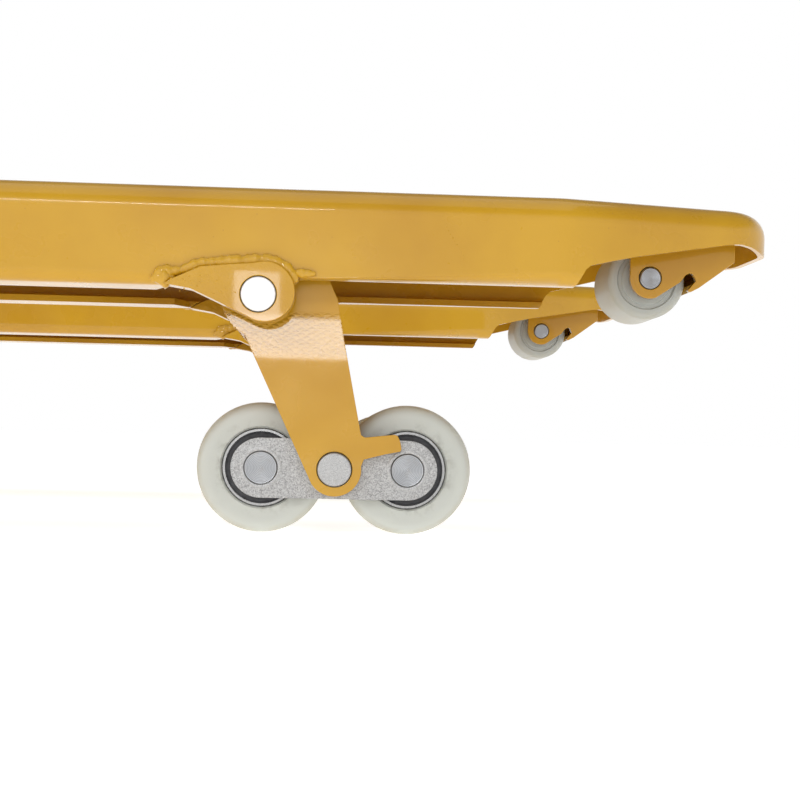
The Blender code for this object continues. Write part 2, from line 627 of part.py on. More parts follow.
# ---- Push rods and rocker -----------------------------------------------------------------
def build_push_rod(side, sign):
    """Round bar with an eye at each end; the eyes are slots, tall enough for the pins' rise."""
    centre = sign * FORK_Y
    body = axis("push_rod_axis_" + side, (REAR_EYE_X, centre, REAR_EYE_Z), FORKS)
    front = (EAR_X - REAR_EYE_X, EAR_Z - REAR_EYE_Z)
    rise = EAR_LENGTH * (1 - math.cos(ARM_SWING / 2)) + 0.001
    fall = ROCKER_EAR * (1 - math.cos(ROCKER_SWING / 2)) + 0.001
    bore = ROD_PIN_RADIUS + 2 * FREE
    eyes = ((0.0, (0.0, 0.0), (0.0, -fall)), (1.0, front, (front[0], front[1] + rise)))
    start, end = Vector((0.008, 0.0, 0.0)), Vector((front[0] - 0.008, 0.0, front[1]))
    rod = put("push_rod_" + side, tube_mesh("push_rod_" + side, [start, end], ROD_RADIUS, 8,
              resolution=0), ZINC, body, (REAR_EYE_X, centre, REAR_EYE_Z))
    for index, first, second in eyes:
        name = f"rod_eye_{side}_{int(index)}"
        low, high = sorted((first, second), key=lambda point: point[1])
        loop = stadium(low, high, bore + EYE_WALL)
        mesh = plate_mesh(name, [loop], EYE_PLATE)
        join(rod, tool(name, mesh, body, (REAR_EYE_X, centre, REAR_EYE_Z), UPRIGHT))
        slot = plate_mesh(name + "_slot", [stadium(low, high, bore)], 0.040)
        cut(rod, tool(name + "_slot", slot, body, (REAR_EYE_X, centre, REAR_EYE_Z), UPRIGHT))


def build_rocker():
    """Cross tube with two long levers to the crosshead and an ear pair at each push rod."""
    home = (ROCKER_X, 0.0, ROCKER_Z)
    half = FORK_Y + EAR_OUT + 0.003
    tube = drill_mesh("rocker", ROCKER_TUBE_RADIUS, half, ROUND)
    rocker = put("rocker", tube, PAINT, ROCKER, home, ACROSS)
    crosshead_pin = (CROSSHEAD_PIN_X - ROCKER_X, CROSSHEAD_PIN_Z - ROCKER_Z)
    rod_pin = (REAR_EYE_X - ROCKER_X, REAR_EYE_Z - ROCKER_Z)
    for side, sign in SIDES:
        outline = tapered(crosshead_pin, LEVER_END, LEVER_ROOT)
        lever = plate_mesh("lever_" + side, [outline], LEVER_PLATE)
        join(rocker, tool("lever_" + side, lever, ROCKER, (ROCKER_X, sign * LEVER_Y, ROCKER_Z),
                          UPRIGHT))
        inside, outside = LEVER_Y - LEVER_PLATE / 2 + 0.001, LUG_OUT + 0.001
        pin = drill_mesh("lever_pin_" + side, ROD_PIN_RADIUS, (outside - inside) / 2)
        place = (CROSSHEAD_PIN_X, sign * (inside + outside) / 2, CROSSHEAD_PIN_Z)
        join(rocker, tool("lever_pin_" + side, pin, ROCKER, place, ACROSS))
        for flank, way in FLANKS:
            y = sign * (FORK_Y + way * (EAR_IN + EAR_OUT) / 2)
            outline = tapered(rod_pin, LEVER_END, LEVER_ROOT)
            ear = plate_mesh(f"ear_{side}_{flank}", [outline], EAR_PLATE)
            join(rocker, tool(f"ear_{side}_{flank}", ear, ROCKER, (ROCKER_X, y, ROCKER_Z),
                              UPRIGHT))
        pin = drill_mesh("ear_pin_" + side, ROD_PIN_RADIUS, EAR_OUT + 0.001)
        place = (REAR_EYE_X, sign * FORK_Y, REAR_EYE_Z)
        join(rocker, tool("ear_pin_" + side, pin, ROCKER, place, ACROSS))


def tapered(end, end_radius, root_radius):
    """Lever outline from a wide boss at the local origin to a smaller one at its end."""
    angle = math.degrees(math.atan2(end[1], end[0]))
    return (arc((0.0, 0.0), root_radius, angle + 90, angle + 270, 6)
            + arc(end, end_radius, angle - 90, angle + 90, 5))


# ---- Crosshead ----------------------------------------------------------------------------
CROSSHEAD_LOW = 2 * STEER_WHEEL_RADIUS + 0.004
CROSSHEAD_PLATE = 0.007
CROSSHEAD_RADIUS = 0.068
CROSSHEAD_FLAT_X = 0.0425    # cut short in front, under the rocker's levers
LUG_IN = LEVER_Y + LEVER_PLATE / 2 + 0.002
LUG_PLATE = 0.008
LUG_OUT = LUG_IN + LUG_PLATE
BEARING_LOW = CROSSHEAD_LOW + CROSSHEAD_PLATE + GAP
BEARING_HEIGHT = 0.009
BEARING_OUT = LEVER_Y - LEVER_PLATE / 2 - 0.003


def build_crosshead():
    """Ring round the pump's neck; the rocker's pins ride in its two level slots."""
    top = CROSSHEAD_LOW + CROSSHEAD_PLATE
    flat = math.degrees(math.acos(CROSSHEAD_FLAT_X / CROSSHEAD_RADIUS))
    loops = [arc((0.0, 0.0), CROSSHEAD_RADIUS, flat, 360 - flat, FINE),
             circle((0.0, 0.0), NECK_RADIUS + FREE, FINE)]
    place = (0.0, 0.0, (CROSSHEAD_LOW + top) / 2)
    ring = put("crosshead", plate_mesh("crosshead", loops, CROSSHEAD_PLATE), CAST, ROOT, place)
    reach = ROCKER_LEVER * (1 - math.cos(ROCKER_DIP))
    advance = ROCKER_LEVER * (math.cos(ROCKER_DIP) - math.cos(ROCKER_RISE))
    slot_radius = ROD_PIN_RADIUS + 0.0025
    slot = stadium((-reach - 0.001, 0.0), (advance + 0.001, 0.0), slot_radius)
    low = CROSSHEAD_LOW + 0.002 - CROSSHEAD_PIN_Z
    lug = [(-reach - 0.020, low), (advance + 0.020, low), (advance + 0.020, 0.0)]
    lug += arc((advance + 0.001, 0.0), slot_radius + 0.007, 45, 90, 3)
    lug += arc((-reach - 0.001, 0.0), slot_radius + 0.007, 90, 135, 3) + [(-reach - 0.020, 0.0)]
    for side, sign in SIDES:
        place = (CROSSHEAD_PIN_X, sign * (LUG_IN + LUG_OUT) / 2, CROSSHEAD_PIN_Z)
        plate = plate_mesh("crosshead_lug_" + side, [lug, slot], LUG_PLATE)
        join(ring, tool("crosshead_lug_" + side, plate, ROOT, place, UPRIGHT))
    high = BEARING_LOW + BEARING_HEIGHT
    inner, outer = NECK_RADIUS + FREE, BEARING_OUT
    profile = [(inner, high), (outer, high), (outer, BEARING_LOW), (inner, BEARING_LOW)]
    bearing = turned_mesh("steering_thrust_bearing", profile, FINE, ring=True)
    put("steering_thrust_bearing", bearing, STEEL, ROOT, (0.0, 0.0, 0.0))


# ---- Pump unit and steering wheels --------------------------------------------------------
BODY_LOW = CROSSHEAD_PIN_Z + 0.024
BLOCK_LOW = STEER_WHEEL_RADIUS - 0.028
BLOCK_TOP = BEARING_LOW - CROSSHEAD_PLATE - 0.004
BLOCK_HALF_X = 0.034
BLOCK_HALF_Y = STEER_WHEEL_Y - STEER_WHEEL_WIDTH / 2 - 0.004
BARREL_RADIUS = 0.017
BARREL_LOW = 0.222
BARREL_TOP = 0.290
BRIDGE_WIDTH = 0.030        # between the handle's foot plates
RELEASE_BOSS = (0.020, -PUMP_RADIUS + 0.003, 0.262)
RELEASE_Y = -PUMP_RADIUS - 0.0105


def build_pump():
    """Casting: axle block, neck, cylinder, plunger barrel and the handle's two lugs."""
    shoulder = BEARING_LOW + BEARING_HEIGHT + GAP
    ram_low = FRAME_UNDER - GAP - ram_length()
    bore_low = ram_low - LIFT - 0.006
    bore = RAM_RADIUS + FREE
    profile = [(bore, PUMP_TOP), (bore + 0.010, PUMP_TOP), (bore + 0.012, PUMP_TOP - 0.008),
               (PUMP_RADIUS - 0.012, PUMP_TOP - 0.014), (PUMP_RADIUS, PUMP_TOP - 0.030),
               (PUMP_RADIUS, BODY_LOW + 0.006), (BEARING_OUT, BODY_LOW), (BEARING_OUT, shoulder),
               (NECK_RADIUS, shoulder), (NECK_RADIUS, BLOCK_TOP - 0.020),
               (0.0, BLOCK_TOP - 0.020), (0.0, bore_low), (bore, bore_low)]
    start = profile.index((0.0, bore_low))
    solid = profile[start:] + profile[:start]
    body = put("pump_body", turned_mesh("pump_body", solid, FINE), CAST, STEER, (0.0, 0.0, 0.0))
    half = [(BLOCK_HALF_X - 0.008, BLOCK_LOW), (BLOCK_HALF_X, BLOCK_LOW + 0.012),
            (BLOCK_HALF_X, BLOCK_TOP - 0.010), (BLOCK_HALF_X - 0.006, BLOCK_TOP)]
    block = half + [(-x, z) for x, z in reversed(half)]
    mesh = plate_mesh("axle_block", [block, circle((0.0, STEER_WHEEL_RADIUS), AXLE_RADIUS + GAP)],
                      2 * BLOCK_HALF_Y)
    join(body, tool("axle_block", mesh, STEER, (0.0, 0.0, 0.0), UPRIGHT))
    barrel = [(0.0, BARREL_TOP), (BARREL_RADIUS - 0.002, BARREL_TOP),
              (BARREL_RADIUS, BARREL_TOP - 0.003), (BARREL_RADIUS, BARREL_LOW + 0.004),
              (BARREL_RADIUS - 0.003, BARREL_LOW), (0.0, BARREL_LOW)]
    bridge = box_loop(HANDLE_X - 0.016, -PUMP_RADIUS / 2, HANDLE_Z - 0.026, HANDLE_Z + 0.020)
    mesh = plate_mesh("bridge", [bridge], BRIDGE_WIDTH)
    join(body, tool("bridge", mesh, STEER, (0.0, 0.0, 0.0), UPRIGHT))
    join(body, tool("barrel", turned_mesh("barrel", barrel, ROUND), STEER, (PLUNGER_X, 0.0, 0.0)))
    well = drill_mesh("plunger_well", PLUNGER_RADIUS + FREE, 0.030)
    place = (PLUNGER_X, 0.0, BARREL_TOP - 0.015)
    cut(body, tool("plunger_well", well, STEER, place, (0.0, 0.0, 0.17)))
    hole = drill_mesh("handle_bore", HANDLE_PIN_RADIUS + GAP, 0.040)
    cut(body, tool("handle_bore", hole, STEER, (HANDLE_X, 0.0, HANDLE_Z), ACROSS))
    boss = drill_mesh("release_boss", 0.010, 0.010)
    join(body, tool("release_boss", boss, STEER, RELEASE_BOSS, ACROSS))


def ram_length():
    return FRAME_UNDER - GAP - PUMP_TOP + RAM_DIP


def build_steering_wheels():
    axle_half = STEER_WHEEL_Y + STEER_WHEEL_WIDTH / 2 + 0.004
    axle = pin_mesh("steer_axle", AXLE_RADIUS, axle_half, steps=ROUND)
    put("steer_axle", axle, STEEL, STEER, (0.0, 0.0, STEER_WHEEL_RADIUS), ACROSS)
    half, hub_radius = STEER_WHEEL_WIDTH / 2, STEER_WHEEL_RADIUS - TYRE_WALL
    bore = AXLE_RADIUS + FREE
    face = [(bore, half), (0.022, half), (0.022, half - 0.008), (hub_radius - 0.008, half - 0.008),
            (hub_radius - 0.008, half - 0.001), (hub_radius - GAP, half - 0.001)]
    hub = face + [(radius, -height) for radius, height in reversed(face)]
    shoulder = arc((STEER_WHEEL_RADIUS - 0.006, half - 0.006), 0.006, 90, 0, 2)
    tyre = [(hub_radius, half)] + shoulder
    tyre += [(radius, -height) for radius, height in reversed(tyre)]
    for side, sign in SIDES:
        place = (0.0, sign * STEER_WHEEL_Y, STEER_WHEEL_RADIUS)
        spin = axis("steer_wheel_axis_" + side, place, STEER)
        mesh = turned_mesh("steer_hub", hub, FINE, ring=True)
        put("steer_hub_" + side, mesh, CAST, spin, place, ACROSS)
        mesh = turned_mesh("steer_tyre", tyre, FINE, ring=True)
        put("steer_tyre_" + side, mesh, RUBBER, spin, place, ACROSS)


# ---- Frame head ---------------------------------------------------------------------------
def build_frame():
    low = FORK_TOP - FRAME_SEAT + GAP
    thick = FRAME_PLATE
    back = HEEL_X - thick - GAP
    wide, narrow = OVERALL_WIDTH / 2 - 0.004, FRAME_HALF_WIDTH
    half = [(wide, low), (wide, low + 0.060), (narrow + 0.012, FRAME_TOP - 0.090),
            (narrow, FRAME_TOP - 0.020), (narrow - 0.016, FRAME_TOP)]
    outline = half + [(-y, z) for y, z in reversed(half)]
    turn = (math.pi / 2, 0.0, math.pi / 2)
    mesh = plate_mesh("frame_front_plate", [outline], thick)
    put("frame_front_plate", mesh, PAINT, FORKS, (HEEL_X - thick / 2, 0.0, 0.0), turn)
    cheek = [(FORK_BACK_X + 0.004, low), (back, low), (back, FRAME_TOP),
             (CHEEK_BACK_X, FRAME_TOP), (CHEEK_BACK_X, FRAME_TOP - 0.030)]
    cheek += arc((-0.020, low + 0.080), 0.150, 60, 12, 5)
    bore = circle((ROCKER_X, ROCKER_Z), ROCKER_TUBE_RADIUS + FREE)
    for side, sign in SIDES:
        place = (0.0, sign * (FRAME_HALF_WIDTH - thick / 2), 0.0)
        mesh = plate_mesh("frame_cheek_" + side, [cheek, bore], thick)
        put("frame_cheek_" + side, mesh, PAINT, FORKS, place, UPRIGHT)
    inside = FRAME_HALF_WIDTH - thick - GAP
    shoulder_x = CHEEK_BACK_X + 0.030
    plan = [(FRAME_BACK_X, -0.030), (shoulder_x, -inside), (back, -inside),
            (back, inside), (shoulder_x, inside), (FRAME_BACK_X, 0.030)]
    mesh = plate_mesh("frame_top_plate", [plan], FRAME_TOP_PLATE)
    place = (0.0, 0.0, FRAME_TOP - FRAME_TOP_PLATE / 2)
    put("frame_top_plate", mesh, PAINT, FORKS, place)
    ram = pin_mesh("ram", RAM_RADIUS, ram_length() / 2, 0.0015, FINE)
    put("ram", ram, CHROME, FORKS, (0.0, 0.0, FRAME_UNDER - GAP - ram_length() / 2))


# ---- Handle -------------------------------------------------------------------------------
LOOP_LOW = HANDLE_HEIGHT - LOOP_HEIGHT
CONTROL_Z = LOOP_LOW + 0.058
FOOT_IN = BRIDGE_WIDTH / 2 + 0.0015
FOOT_OUT = FOOT_IN + 0.009
FOOT_HEIGHT = 0.080


def build_handle():
    """Forked foot, pole and a closed grip loop, upright; the control lever is in the loop."""
    cheek = ([(-0.020, FOOT_HEIGHT)] + arc((0.0, 0.0), YOKE_RADIUS, 180, 360, 10)
             + [(0.020, FOOT_HEIGHT)])
    place = (HANDLE_X, 0.0, HANDLE_Z)
    loops = [cheek, circle((0.0, 0.0), HANDLE_PIN_RADIUS + GAP, COARSE)]
    foot = put("handle_pole", plate_mesh("handle_pole", loops, 2 * FOOT_OUT), CAST, HANDLE,
               place, UPRIGHT)
    opening = box_loop(-0.060, 0.060, -0.060, FOOT_HEIGHT - 0.018)
    gap = plate_mesh("foot_gap", [opening], 2 * FOOT_IN)
    cut(foot, tool("foot_gap", gap, HANDLE, place, UPRIGHT))
    low, high = HANDLE_Z + FOOT_HEIGHT - 0.010, LOOP_LOW + LOOP_TUBE_RADIUS * 2 + 0.020
    pole = pin_mesh("pole", POLE_RADIUS, (high - low) / 2, 0.003, ROUND)
    join(foot, tool("pole", pole, HANDLE, (HANDLE_X, 0.0, (low + high) / 2)))
    neck = drill_mesh("loop_bore", LOOP_TUBE_RADIUS + FREE, 0.060, ROUND)
    cut(foot, tool("loop_bore", neck, HANDLE, (HANDLE_X, 0.0, LOOP_LOW + LOOP_TUBE_RADIUS),
                   ACROSS))
    pin = pin_mesh("handle_pivot_pin", HANDLE_PIN_RADIUS, FOOT_OUT + 0.003)
    put("handle_pivot_pin", pin, ZINC, STEER, place, ACROSS)
    build_loop()
    build_controls()


def build_loop():
    """Closed round-cornered triangle of tube, its straight foot through the pole's bore."""
    bend, top_bend = 0.030, 0.045
    low = LOOP_LOW + LOOP_TUBE_RADIUS
    high = HANDLE_HEIGHT - LOOP_TUBE_RADIUS
    narrow, wide = 0.050, LOOP_HALF_WIDTH - LOOP_TUBE_RADIUS
    right = arc((narrow, low + bend), bend, -90, -20, 4)
    right += arc((wide - top_bend, high - top_bend), top_bend, -12, 90, 6)
    points = right + [(-y, z) for y, z in reversed(right)]
    path = [Vector((0.0, y, z - low)) for y, z in points]
    mesh = tube_mesh("handle_loop", path, LOOP_TUBE_RADIUS, 8, closed=True)
    put("handle_loop", mesh, CAST, HANDLE, (HANDLE_X, 0.0, low))


def build_controls():
    control = axis("control_axis", (HANDLE_X, 0.0, CONTROL_Z), HANDLE)
    lever = [(-0.006, -0.008), (0.006, -0.008)] + arc((0.0, 0.046), 0.009, 0, 180, 8)
    mesh = plate_mesh("control_lever", [lever], 0.016)
    bar = put("control_lever", mesh, SEAL, control, (HANDLE_X, 0.0, CONTROL_Z), UPRIGHT)
    grip = pin_mesh("control_grip", 0.0065, 0.038, 0.002)
    join(bar, tool("control_grip", grip, control, (HANDLE_X, 0.0, CONTROL_Z + 0.046), ACROSS))
    plunger_axis = axis("plunger_axis", (PLUNGER_X, 0.0, BARREL_TOP), STEER)
    plunger = pin_mesh("pump_plunger", PLUNGER_RADIUS, 0.020, 0.0015)
    put("pump_plunger", plunger, CHROME, plunger_axis, (PLUNGER_X, 0.0, BARREL_TOP))
    place = (RELEASE_BOSS[0], RELEASE_Y, RELEASE_BOSS[2])
    release_axis = axis("release_axis", place, STEER)
    mesh = plate_mesh("release_lever", [tapered((-0.052, 0.010), 0.006, 0.010)], 0.006)
    put("release_lever", mesh, ZINC, release_axis, place, UPRIGHT)


# ---- The truck ----------------------------------------------------------------------------
for side_name, side_sign in SIDES:
    build_fork(side_name, side_sign)
    build_gussets(side_name, side_sign)
    build_entry_roller(side_name, side_sign)
    build_arm(side_name, side_sign)
    build_push_rod(side_name, side_sign)
build_rocker()
build_crosshead()
build_pump()
build_steering_wheels()
build_frame()
build_handle()
ROOT.location.x = -(TIP_X + BACK_X) / 2
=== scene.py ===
"""Looks of the hand pallet truck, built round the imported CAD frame. Metres, +Z up."""
import json
import math
import random

import bmesh
import bpy
from mathutils import Matrix, Vector, noise


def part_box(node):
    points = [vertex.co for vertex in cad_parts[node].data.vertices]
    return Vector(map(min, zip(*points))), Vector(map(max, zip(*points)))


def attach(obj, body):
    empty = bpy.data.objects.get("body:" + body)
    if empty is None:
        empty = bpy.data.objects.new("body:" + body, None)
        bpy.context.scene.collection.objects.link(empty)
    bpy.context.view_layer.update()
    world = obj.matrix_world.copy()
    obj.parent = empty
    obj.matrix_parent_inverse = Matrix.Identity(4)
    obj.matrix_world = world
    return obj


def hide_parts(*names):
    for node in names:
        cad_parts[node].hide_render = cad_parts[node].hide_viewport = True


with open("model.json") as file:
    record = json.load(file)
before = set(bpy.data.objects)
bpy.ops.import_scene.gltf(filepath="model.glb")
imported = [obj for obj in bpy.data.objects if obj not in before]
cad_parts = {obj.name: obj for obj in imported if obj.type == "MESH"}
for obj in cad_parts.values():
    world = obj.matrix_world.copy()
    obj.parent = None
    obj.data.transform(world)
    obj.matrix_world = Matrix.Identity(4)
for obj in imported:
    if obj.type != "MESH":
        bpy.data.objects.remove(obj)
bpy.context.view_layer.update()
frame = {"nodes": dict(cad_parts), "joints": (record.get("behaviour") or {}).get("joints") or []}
NODES = frame["nodes"]
SCENE = bpy.context.scene
SIDES = (("right", -1), ("left", 1))
FLANKS = ("inner", "outer")
ENDS = ("rear", "front")


# ---- Places read from the frame -----------------------------------------------------------
def middle(node):
    low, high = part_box(node)
    return (low + high) / 2


def half_size(node):
    """Half of a node's width along Y and half of its height."""
    low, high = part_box(node)
    return (high.y - low.y) / 2, (high.z - low.z) / 2


def frame_joint(name):
    return Vector(next(joint for joint in frame["joints"] if joint["name"] == name)["pos_m"])


PIN = middle("bogie_pin_right_outer")
FORK_LOW, FORK_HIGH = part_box("fork_right")
FORK_TOP = FORK_HIGH.z
TIP_X = FORK_HIGH.x
FORK_WIDTH = FORK_HIGH.y - FORK_LOW.y
FORK_Y = abs(middle("fork_right").y)


# ---- Shader helpers -----------------------------------------------------------------------
MIX_FACTOR, MIX_FIRST, MIX_SECOND = 0, 6, 7  # the Mix node's sockets for colours
MIX_RESULT = 2


class Look:
    """One procedural material: a Principled shader and the nodes that feed it."""

    def __init__(self, name, roughness=0.4, metallic=0.0, coat=0.0, coat_roughness=0.05):
        self.material = bpy.data.materials.new(name)
        self.material.use_nodes = True
        self.tree = self.material.node_tree
        self.shader = self.tree.nodes["Principled BSDF"]
        self.shader.inputs["Roughness"].default_value = roughness
        self.shader.inputs["Metallic"].default_value = metallic
        self.shader.inputs["Coat Weight"].default_value = coat
        self.shader.inputs["Coat Roughness"].default_value = coat_roughness
        self.place = self.add("ShaderNodeTexCoord").outputs["Object"]
        self.normal = None

    def add(self, kind, inputs=None, **settings):
        """New node; an input is linked when its value is a socket, and set otherwise."""
        node = self.tree.nodes.new(kind)
        for key, value in settings.items():
            setattr(node, key, value)
        for key, value in (inputs or {}).items():
            socket = node.inputs[key]
            if isinstance(value, bpy.types.NodeSocket):
                self.tree.links.new(value, socket)
            elif socket.type == "RGBA":
                socket.default_value = (*value, 1.0)
            else:
                socket.default_value = value
        return node

    def wire(self, source, target):
        self.tree.links.new(source, self.shader.inputs[target])

    def stretched(self, scale):
        node = self.add("ShaderNodeMapping", {"Scale": scale, "Vector": self.place})
        return node.outputs["Vector"]

    def noise(self, scale, detail=3.0, rough=0.5, vector=None):
        node = self.add("ShaderNodeTexNoise", {"Scale": scale, "Detail": detail, "Roughness": rough,
                                               "Vector": vector or self.place})
        return node.outputs["Fac"]

    def cells(self, scale):
        node = self.add("ShaderNodeTexVoronoi", {"Scale": scale, "Vector": self.place})
        return node.outputs["Distance"]

    def ramp(self, factor, stops):
        """Colour ramp; a stop is (position, colour or grey)."""
        node = self.add("ShaderNodeValToRGB", {"Fac": factor})
        elements = node.color_ramp.elements
        while len(elements) < len(stops):
            elements.new(0.5)
        for element, (position, colour) in zip(elements, stops):
            element.position = position
            element.color = (*colour, 1.0) if isinstance(colour, tuple) else (colour,) * 3 + (1.0,)
        return node.outputs["Color"]

    def mix(self, factor, first, second):
        node = self.add("ShaderNodeMix", data_type="RGBA",
                        inputs={MIX_FACTOR: factor, MIX_FIRST: first, MIX_SECOND: second})
        return node.outputs[MIX_RESULT]

    def math(self, operation, first, second=0.0):
        return self.add("ShaderNodeMath", {0: first, 1: second}, operation=operation).outputs[0]

    def along(self, name):
        """Place along one of the piece's own axes."""
        return self.add("ShaderNodeSeparateXYZ", {0: self.place}).outputs[name]

    def radius(self):
        """Distance from the piece's own Y axis."""
        squares = [self.math("MULTIPLY", self.along(name), self.along(name)) for name in "XZ"]
        return self.math("SQRT", self.math("ADD", *squares))

    def map_range(self, value, low, high, kind="LINEAR"):
        """0 up to the low end of a value and 1 from its high end."""
        return self.add("ShaderNodeMapRange", {"Value": value, "From Min": low, "From Max": high},
                        interpolation_type=kind).outputs["Result"]

    def edges(self, low, high):
        """0 on flat faces to 1 on convex edges."""
        geometry = self.add("ShaderNodeNewGeometry")
        return self.map_range(geometry.outputs["Pointiness"], low, high)

    def bump(self, height, strength, distance):
        inputs = {"Strength": strength, "Distance": distance, "Height": height}
        if self.normal:
            inputs["Normal"] = self.normal
        self.normal = self.add("ShaderNodeBump", inputs).outputs["Normal"]
        self.wire(self.normal, "Normal")

    def colour(self, source):
        self.wire(source, "Base Color")

    def roughness(self, source):
        self.wire(source, "Roughness")

    def mottle(self, scale, detail, rough, first, second):
        """Colour that wanders between two tones."""
        self.colour(self.ramp(self.noise(scale, detail, rough), ((0.3, first), (0.8, second))))


# ---- Materials ----------------------------------------------------------------------------
PAINT_LIGHT = (0.570, 0.312, 0.012)
PAINT_DEEP = (0.455, 0.225, 0.008)
PAINT_WORN = (0.300, 0.120, 0.020)


def orange_look(name, lumpy=0.0):
    """Thick glossy coat with orange peel, faint runs and dirt; lumpy where it covers weld."""
    look = Look(name, roughness=0.36, coat=0.55, coat_roughness=0.03)
    look.shader.inputs["Specular IOR Level"].default_value = 0.30
    broad = look.noise(9.0, 4.0)
    tone = look.mix(look.ramp(broad, ((0.35, 0.0), (0.70, 1.0))), PAINT_LIGHT, PAINT_DEEP)
    streaks = look.noise(60.0, 5.0, 0.6, look.stretched((0.08, 1.0, 1.0)))
    tone = look.mix(look.ramp(streaks, ((0.60, 0.0), (0.80, 0.35))), tone, PAINT_DEEP)
    specks = look.cells(95.0)
    tone = look.mix(look.ramp(specks, ((0.0, 0.6), (0.05, 0.0))), tone, PAINT_WORN)
    look.colour(tone)
    look.roughness(look.ramp(look.noise(35.0, 4.0), ((0.3, 0.24), (0.75, 0.38))))
    look.bump(look.noise(210.0, 2.0), 0.10, 0.0006)
    look.bump(look.noise(28.0, 2.0), 0.09, 0.0012)
    if lumpy:
        look.bump(look.noise(120.0, 4.0, 0.6), lumpy, 0.0016)
    return look


def white_nylon(name="white_nylon", seat=0.0236, rim=0.0388, level=1.0):
    """Off-white cast nylon, faintly green, tanned by wear at the rim and grimy at the bearing."""
    look = Look(name, roughness=0.42)
    look.shader.inputs["Subsurface Weight"].default_value = 0.35
    look.shader.inputs["Subsurface Radius"].default_value = (0.006, 0.006, 0.005)
    radius = look.radius()
    # level scales the base tone; below 1 it paints shade onto the nylon
    base = look.mix(look.ramp(look.noise(14.0, 3.0), ((0.3, 0.0), (0.7, 1.0))),
                    (0.590 * level, 0.605 * level, 0.560 * level),
                    (0.530 * level, 0.545 * level, 0.500 * level))
    smear = look.noise(90.0, 6.0, 0.65, look.stretched((1.0, 0.25, 1.0)))
    grime = look.math("MULTIPLY", look.ramp(radius, ((seat, 1.0), (seat + 0.0064, 0.0))),
                      look.ramp(smear, ((0.50, 0.0), (0.74, 0.9))))
    tread = look.math("MULTIPLY", look.ramp(radius, ((rim - 0.0023, 0.0), (rim, 1.0))),
                      look.ramp(smear, ((0.35, 0.15), (0.75, 0.9))))
    tone = look.mix(grime, base, (0.170, 0.160, 0.120))
    tone = look.mix(tread, tone, (0.430, 0.380, 0.260))
    look.colour(tone)
    look.bump(look.noise(700.0, 2.0), 0.08, 0.0003)
    return look.material


def speckled_zinc(name="zinc_plate", low=0.22, high=0.50):
    """Zinc plate: fine bright and dull grains with a few stains."""
    look = Look(name, roughness=0.42, metallic=0.85)
    grain = look.noise(1500.0, 3.0, 0.7)
    tone = look.ramp(grain, ((0.34, (low, low, low)), (0.62, (high, high, high * 0.99))))
    stains = look.ramp(look.noise(240.0, 5.0, 0.7), ((0.62, 0.0), (0.78, 0.65)))
    tone = look.mix(stains, tone, (0.230, 0.215, 0.185))
    look.colour(tone)
    look.roughness(look.ramp(grain, ((0.3, 0.55), (0.7, 0.34))))
    look.bump(grain, 0.22, 0.0003)
    return look.material


def turned_steel():
    """Lathe-turned face: fine rings about the piece's own axis."""
    look = Look("turned_steel", roughness=0.32, metallic=0.95)
    rings = look.math("SINE", look.math("MULTIPLY", look.radius(), 7200.0))
    tone = look.mix(look.math("MULTIPLY_ADD", rings, 0.5), (0.24, 0.25, 0.26), (0.42, 0.43, 0.45))
    stain = look.ramp(look.noise(300.0, 4.0), ((0.55, 0.0), (0.80, 0.45)))
    look.colour(look.mix(stain, tone, (0.30, 0.28, 0.25)))
    look.bump(rings, 0.18, 0.0002)
    return look.material


def ground_steel(name="ground_steel", level=0.36, roughness=0.28):
    look = Look(name, roughness=roughness, metallic=1.0)
    scratches = look.noise(400.0, 5.0, 0.7, look.stretched((1.0, 0.06, 1.0)))
    look.colour(look.ramp(scratches, ((0.3, level * 0.75), (0.7, level * 1.15))))
    look.roughness(look.ramp(scratches, ((0.3, roughness * 0.7), (0.7, roughness * 1.6))))
    look.bump(scratches, 0.08, 0.0002)
    return look.material


def black_seal():
    look = Look("bearing_seal", roughness=0.50)
    look.mottle(260.0, 4.0, 0.5, (0.018, 0.019, 0.022), (0.060, 0.060, 0.066))
    look.bump(look.noise(900.0, 2.0), 0.15, 0.0002)
    return look.material


def black_enamel():
    """Satin black paint over a casting, with its edges rubbed."""
    look = Look("black_enamel", roughness=0.42, coat=0.25, coat_roughness=0.25)
    base = look.ramp(look.noise(40.0, 5.0), ((0.3, (0.022, 0.022, 0.024)),
                                             (0.75, (0.048, 0.048, 0.050))))
    rubbed = look.math("MULTIPLY", look.edges(0.53, 0.60),
                       look.ramp(look.noise(150.0, 4.0), ((0.50, 0.0), (0.60, 1.0))))
    look.colour(look.mix(rubbed, base, (0.260, 0.250, 0.240)))
    look.bump(look.noise(260.0, 4.0, 0.6), 0.30, 0.0005)
    return look.material


def solid_tyre():
    look = Look("solid_tyre", roughness=0.72)
    dust = look.ramp(look.noise(55.0, 6.0, 0.65), ((0.42, 0.0), (0.75, 0.8)))
    look.colour(look.mix(dust, (0.030, 0.030, 0.031), (0.150, 0.142, 0.130)))
    look.bump(look.noise(420.0, 3.0), 0.35, 0.0004)
    return look.material


def hand_rubber():
    look = Look("hand_rubber", roughness=0.60)
    look.mottle(80.0, 4.0, 0.5, (0.014, 0.014, 0.015), (0.040, 0.040, 0.042))
    look.bump(look.cells(480.0), 0.35, 0.0005)
    return look.material


def glint_white_end():
    """Zinc end face that catches the lamp, its colour painted near-white as a painted highlight."""
    look = Look("glint_white_end", roughness=0.30, metallic=0.15, coat=0.6)
    look.mottle(420.0, 4.0, 0.6, (0.93, 0.93, 0.93), (0.80, 0.80, 0.79))
    look.bump(look.noise(900.0, 2.0), 0.05, 0.0001)
    return look.material


